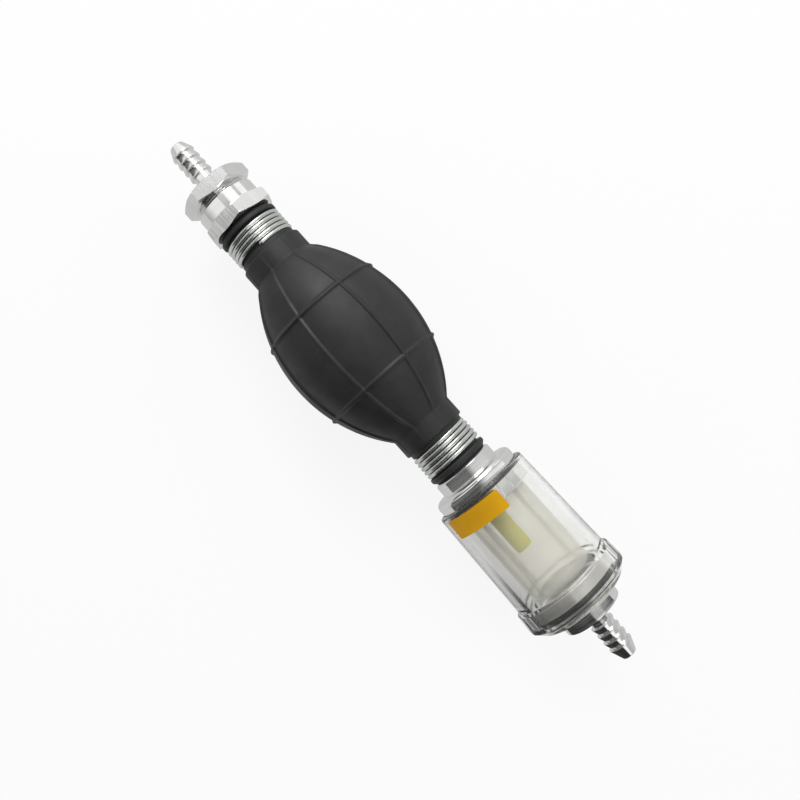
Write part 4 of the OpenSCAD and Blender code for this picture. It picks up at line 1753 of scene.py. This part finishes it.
@dataclass
class BasePlug:
    """Turned plug with its rim, boss and barbed inlet tail, and its O-ring.

    The band of the plug inside the bowl, between its end and the groove, is matt.
    """

    tail: BarbedTail
    near: float = 115.2
    radius: float = 17.35
    bore: float = 17.4
    groove_near: float = 119.9
    groove_far: float = 122.0
    groove_radius: float = 15.4
    bowl_end: float = 125.1
    rim_far: float = 126.1
    rim_radius: float = 16.5
    boss_radius: float = 12.1
    boss_far: float = 131.2
    recess_radius: float = 14.4
    recess_floor: float = 119.2
    band_depth: float = 0.3
    band_over: float = 0.1
    gap: float = 0.05

    def build(self) -> None:
        """Builds and seats both pieces."""
        skin = Skin(Side.INLET, even_columns(Columns.BODY))
        profile = rounded(
            [
                (self.recess_floor, self.tail.bore, 0.0),
                (self.recess_floor, self.recess_radius, 0.5),
                (self.near, self.recess_radius, 0.2),
                (self.near, self.radius, 0.5),
                (self.groove_near, self.radius, 0.1),
                (self.groove_near, self.groove_radius, 0.2),
                (self.groove_far, self.groove_radius, 0.2),
                (self.groove_far, self.radius, 0.1),
                (self.bowl_end, self.radius, 0.1),
                (self.rim_far, self.rim_radius, 0.2),
                (self.rim_far, self.boss_radius, 0.25),
                (self.boss_far, self.boss_radius, 0.45),
                *self.tail.corners(),
                (self.recess_floor, self.tail.bore, 0.0),
            ]
        )
        least, last = self.radius - self.band_depth, self.groove_near + self.band_over
        band = [radius > least and station < last for station, radius in profile]
        bm = bmesh.new()
        skin.lay(bm, skin.plain(profile[:-1]), lambda i: int(band[i]))
        piece = make_piece("turned_base_plug", bm, Shade.TURNED, BRIGHT_TURNED, MATT_TURNED)
        seat(piece, "bowl", "fitting_alloy", "base_plug")
        self._o_ring()

    def _o_ring(self) -> None:
        """O-ring pressed between the groove and the bowl."""
        inner, outer = self.groove_radius + self.gap / 2, self.bore - self.gap / 2
        near, far = self.groove_near + self.gap, self.groove_far - self.gap
        middle = (near + far) / 2
        bulge = (outer - inner) / 2
        bm = Skin(Side.INLET, even_columns(Columns.SLEEVE)).revolved(
            [
                (middle, inner, 0.0),
                (near, inner, bulge),
                (near, outer, bulge),
                (far, outer, bulge),
                (far, inner, bulge),
                (middle, inner, 0.0),
            ],
            steps=8,
        )
        piece = make_piece("plug_o_ring", bm, Shade.SOFT, SEAL_RUBBER)
        seat(piece, "bowl", "seal_rubber", "base_o_ring")


# Studio


@dataclass(frozen=True)
class RoomPart:
    """One part of the room that bright metal mirrors.

    Tilts are the directions' share along +X between which the part fades in. Each side is a ramp
    over the angle round the pump: angle from, angle to, brightness from and brightness to. The
    turn is where, by that angle, the near side gives way to the far one.
    """

    tilts: tuple[float, float]
    near: tuple[float, float, float, float]
    far: tuple[float, float, float, float]
    turn: tuple[float, float]


@dataclass(frozen=True)
class RoomBar:
    """A dark bar in the room, along the pump.

    Its tilts are where it starts to fade in, is full, starts to fade out and has gone.
    """

    angle: float
    half: float
    depth: float
    tilts: tuple[float, float, float, float]
    fade_out: float = 2.0
    fade_in: float = 1.0


@dataclass(frozen=True)
class Softbox:
    """A square lamp that shines at the pump's middle from a direction."""

    name: str
    toward: tuple[float, float, float]
    distance_m: float
    size_m: float
    power: float
    mirrored: bool

    def build(self) -> None:
        """Hangs the lamp."""
        data = bpy.data.lights.new(self.name, "AREA")
        data.shape, data.size, data.energy = "SQUARE", self.size_m, self.power
        lamp = bpy.data.objects.new(self.name, data)
        lamp.visible_glossy = self.mirrored
        lamp.visible_transmission = False
        direction = Vector(self.toward).normalized()
        lamp.location = Vector((0, 0, AXIS_HEIGHT * MM)) + direction * self.distance_m
        lamp.rotation_euler = direction.to_track_quat("Z", "Y").to_euler()
        bpy.context.scene.collection.objects.link(lamp)


@dataclass(frozen=True)
class FloorZone:
    """A painted dark patch on the floor, shown only in bright metal and through the clear bowl.

    It fades in along the pump and across it, between two places each.
    """

    along_m: tuple[float, float]
    across_m: tuple[float, float]


# What is mirrored where none of the other parts has faded in; each of those covers the ones before it
MIDDLE_ROOM = RoomPart(
    tilts=(0.0, 0.0),
    near=(-110.0, -95.0, 0.3, 0.09),
    far=(15.0, 60.0, 0.5, 0.58),
    turn=(-2.0, 26.0),
)
OUTLET_ROOM = RoomPart(
    tilts=(-0.2, -0.27),
    near=(-88.0, -46.0, 0.48, 0.9),
    far=(15.0, 60.0, 1.0, 1.04),
    turn=(8.0, 14.0),
)
OTHER_ROOMS = (
    OUTLET_ROOM,
    RoomPart((-0.37, -0.4), (-95.0, -40.0, 0.3, 0.72), (15.0, 60.0, 0.9, 0.75), (-5.0, 10.0)),
    RoomPart((-0.5, -0.55), (-110.0, -95.0, 0.3, 0.14), (15.0, 60.0, 0.8, 0.8), (-5.0, 22.0)),
    replace(OUTLET_ROOM, tilts=(-0.74, -0.78)),
    RoomPart((0.092, 0.098), (-110.0, -95.0, 0.5, 0.46), (15.0, 60.0, 1.05, 1.0), (-2.0, 26.0)),
    RoomPart((0.112, 0.118), (-110.0, -95.0, 0.2, 0.09), (15.0, 60.0, 1.1, 1.05), (-2.0, 26.0)),
    RoomPart((0.145, 0.165), (-98.0, -70.0, 0.2, 0.07), (60.0, 90.0, 0.34, 0.38), (-14.0, 34.0)),
    RoomPart((0.205, 0.235), (-100.0, -20.0, 0.2, 0.42), (10.0, 40.0, 1.0, 0.75), (-16.0, 16.0)),
    RoomPart((0.265, 0.27), (-110.0, -90.0, 0.03, 0.026), (38.0, 48.0, 0.08, 0.02), (12.0, 18.0)),
    RoomPart((0.298, 0.304), (-110.0, -90.0, 0.03, 0.03), (30.0, 36.0, 1.05, 0.5), (-11.0, -6.0)),
)
ROOM_BARS = (
    RoomBar(-95.0, 6.0, 0.4, (-0.1, -0.2, -0.4, -0.45)),
    RoomBar(0.0, 11.0, 0.45, (-0.1, -0.2, -0.308, -0.316)),
    RoomBar(57.0, 6.0, 0.42, (-0.1, -0.2, -0.32, -0.34)),
)
# A large softbox beyond the outlet end and a weaker one at the side
SOFTBOXES = (
    Softbox("key_softbox", (-0.62, 0.42, 0.66), 0.85, 0.5, 3.4, mirrored=True),
    Softbox("side_softbox", (0.45, 0.75, 0.48), 0.9, 0.45, 1.1, mirrored=False),
)
# Painted dark patches on the floor, beside the bowl and ahead of its end
PAINTED_DARK_ZONES = (
    FloorZone(along_m=(0.07, 0.1), across_m=(-0.035, -0.05)),
    FloorZone(along_m=(0.12, 0.135), across_m=(-0.003, -0.02)),
)


@dataclass
class Studio:
    """Plain pale floor, soft light and the camera."""

    eye_x: float = 7.0
    eye_y: float = 0.0
    eye_above_axis: float = 330.0
    aim_x: float = 0.15
    aim_y: float = -0.8
    up: tuple[float, float, float] = (-0.7453, 0.6667, 0.0)
    lens: float = 40.57
    sensor: float = 36.0
    clip_m: tuple[float, float] = (0.01, 50.0)
    floor_half_m: float = 6.0
    floor_colour: Colour = (0.9, 0.9, 0.9)
    plain_light: float = 0.62
    white_share: float = 0.86
    mirrored_floor: float = 0.58
    # Painted dark reflection: level of the floor's dark zones, seen only in bright metal and through
    # the bowl
    painted_dark_floor: float = 0.04
    # Painted shadow: the floor seen through the clear bowl is darker towards -Y, down to this level
    painted_shadow_floor: float = 0.6
    painted_shadow_until_m: tuple[float, float] = (-0.017, -0.012)

    def build(self) -> None:
        """Builds everything that isn't part of the pump."""
        scene = bpy.context.scene
        scene.view_settings.view_transform = "Standard"
        self._camera(scene)
        self._floor()
        for softbox in SOFTBOXES:
            softbox.build()
        self._world(scene)

    def _camera(self, scene: bpy.types.Scene) -> None:
        """Places the camera above the pump."""
        data = bpy.data.cameras.new("camera")
        data.lens, data.sensor_width = self.lens, self.sensor
        data.clip_start, data.clip_end = self.clip_m
        eye = Vector((self.eye_x, self.eye_y, AXIS_HEIGHT + self.eye_above_axis)) * MM
        aim = Vector((self.aim_x, self.aim_y, AXIS_HEIGHT)) * MM
        forward = (aim - eye).normalized()
        right = forward.cross(Vector(self.up)).normalized()
        top = right.cross(forward)
        turn = Matrix((right, top, -forward)).transposed().to_4x4()
        camera = bpy.data.objects.new("camera", data)
        camera.matrix_world = Matrix.Translation(eye) @ turn
        scene.collection.objects.link(camera)
        scene.camera = camera

    def _floor(self) -> None:
        """Lays the floor."""
        bm = bmesh.new()
        half = self.floor_half_m
        corners = ((-half, -half), (half, -half), (half, half), (-half, half))
        bm.faces.new([bm.verts.new((x, y, 0.0)) for x, y in corners])
        mesh = bpy.data.meshes.new("floor")
        bm.to_mesh(mesh)
        bm.free()
        floor = bpy.data.objects.new("floor", mesh)
        bpy.context.scene.collection.objects.link(floor)
        mesh.materials.append(self._floor_material())

    def _floor_material(self) -> bpy.types.Material:
        """Pale to the eye, with a faint shadow; painted dark zones and a painted shadow show only by
        way of the pump.
        """
        material = bpy.data.materials.new("pale_floor")
        material.use_nodes = True
        sheet = Sheet(material.node_tree)
        material.node_tree.nodes.clear()
        matt = sheet.add("ShaderNodeBsdfDiffuse")
        matt.inputs["Color"].default_value = rgba(self.floor_colour)
        glow = sheet.add("ShaderNodeEmission")
        path = sheet.add("ShaderNodeLightPath")
        through = path.outputs["Is Transmission Ray"]
        reflected = path.outputs["Is Reflection Ray"]
        mirrored = sheet.math("MULTIPLY", path.outputs["Is Glossy Ray"], reflected)
        x, y, _ = sheet.split(sheet.add("ShaderNodeTexCoord").outputs["Object"])
        # Painted dark patches: dark only to reflected rays and rays through the bowl
        beside, ahead = (
            sheet.math("MULTIPLY", sheet.ramp(x, *zone.along_m), sheet.ramp(y, *zone.across_m))
            for zone in PAINTED_DARK_ZONES
        )
        zones = sheet.math("MAXIMUM", beside, ahead)
        dark = sheet.math("MULTIPLY", sheet.math("MAXIMUM", mirrored, through), zones)
        # Painted shadow on the floor, shown only through the clear bowl
        under = sheet.ramp(y, *self.painted_shadow_until_m, self.painted_shadow_floor, 1.0)
        plain = sheet.pick(mirrored, 1.0, self.mirrored_floor)
        level = sheet.pick(through, plain, under)
        sheet.link(sheet.pick(dark, level, self.painted_dark_floor), glow.inputs["Strength"])
        mix = sheet.add("ShaderNodeMixShader")
        share = sheet.pick(sheet.math("MAXIMUM", dark, through), self.white_share, 1.0)
        sheet.link(sheet.math("MULTIPLY", self._seen(sheet, path), share), mix.inputs[0])
        sheet.link(matt.outputs[0], mix.inputs[1])
        sheet.link(glow.outputs[0], mix.inputs[2])
        output = sheet.add("ShaderNodeOutputMaterial")
        sheet.link(mix.outputs[0], output.inputs[0])
        return material

    @staticmethod
    def _seen(sheet: Sheet, path: bpy.types.Node) -> Socket:
        """1 for camera, glossy and transmission rays, which see the white background."""
        both = sheet.math("MAXIMUM", path.outputs["Is Camera Ray"], path.outputs["Is Glossy Ray"])
        return sheet.math("MAXIMUM", both, path.outputs["Is Transmission Ray"])

    def _world(self, scene: bpy.types.Scene) -> None:
        """Plain light, and the room that bright metal mirrors."""
        world = bpy.data.worlds.new("studio")
        scene.world = world
        world.use_nodes = True
        sheet = Sheet(world.node_tree)
        world.node_tree.nodes.clear()
        path = sheet.add("ShaderNodeLightPath")
        looked_at, through = path.outputs["Is Camera Ray"], path.outputs["Is Transmission Ray"]
        mirrored = sheet.math("MAXIMUM", path.outputs["Is Glossy Ray"], through)
        other = sheet.math("SUBTRACT", 1.0, sheet.math("MAXIMUM", looked_at, mirrored))
        strength = sheet.math("ADD", looked_at, sheet.math("MULTIPLY", other, self.plain_light))
        strength = sheet.math("ADD", strength, sheet.math("MULTIPLY", mirrored, self._room(sheet)))
        background = sheet.add("ShaderNodeBackground")
        background.inputs["Color"].default_value = (1.0, 1.0, 1.0, 1.0)
        sheet.link(strength, background.inputs["Strength"])
        output = sheet.add("ShaderNodeOutputWorld")
        sheet.link(background.outputs[0], output.inputs[0])

    def _room(self, sheet: Sheet) -> Socket:
        """Brightness of the room by direction: tilt along the pump and angle round it."""
        tilt, y, z = sheet.split(sheet.add("ShaderNodeTexCoord").outputs["Generated"])
        round_it = sheet.math("MULTIPLY", sheet.math("ARCTAN2", y, z), 180 / math.pi)
        room = self._part(sheet, round_it, MIDDLE_ROOM)
        for part in OTHER_ROOMS:
            share, other = sheet.ramp(tilt, *part.tilts), self._part(sheet, round_it, part)
            room = sheet.pick(share, room, other)
        for bar in ROOM_BARS:
            away = sheet.math("ABSOLUTE", sheet.math("SUBTRACT", round_it, bar.angle))
            across = sheet.ramp(away, bar.half + bar.fade_out, bar.half - bar.fade_in)
            first, full, fading, gone = bar.tilts
            rise, fall = sheet.ramp(tilt, first, full), sheet.ramp(tilt, gone, fading)
            along = sheet.math("MULTIPLY", rise, fall)
            shade = sheet.math("MULTIPLY", sheet.math("MULTIPLY", across, along), bar.depth)
            room = sheet.math("MULTIPLY", room, sheet.math("SUBTRACT", 1.0, shade))
        return room

    @staticmethod
    def _part(sheet: Sheet, round_it: Socket, part: RoomPart) -> Socket:
        """Brightness of one part of the room by the angle round the pump."""
        near, far = sheet.ramp(round_it, *part.near), sheet.ramp(round_it, *part.far)
        return sheet.pick(sheet.ramp(round_it, *part.turn), near, far)


def main() -> None:
    """Builds the studio and every sub-assembly in order."""
    logging.basicConfig(level=logging.INFO, format="%(name)s: %(message)s")
    Studio().build()
    OutletFitting(
        tail_hex=HexBar(24.4, 72.2, 78.1, 30.0, near_inset=0.85),
        body_hex=HexBar(25.7, 59.3, 64.9, 4.5),
        tail=BarbedTail(78.1, 97.8, 4.4, 4.6),
    ).build()
    RubberBulb().build()
    WireClamps().build()
    CheckValves().build()
    FilterHead().build()
    Strainer().build()
    ClearBowl().build()
    BasePlug(tail=BarbedTail(131.2, 151.2, 5.5, 4.8)).build()


if __name__ == "__main__":
    main()
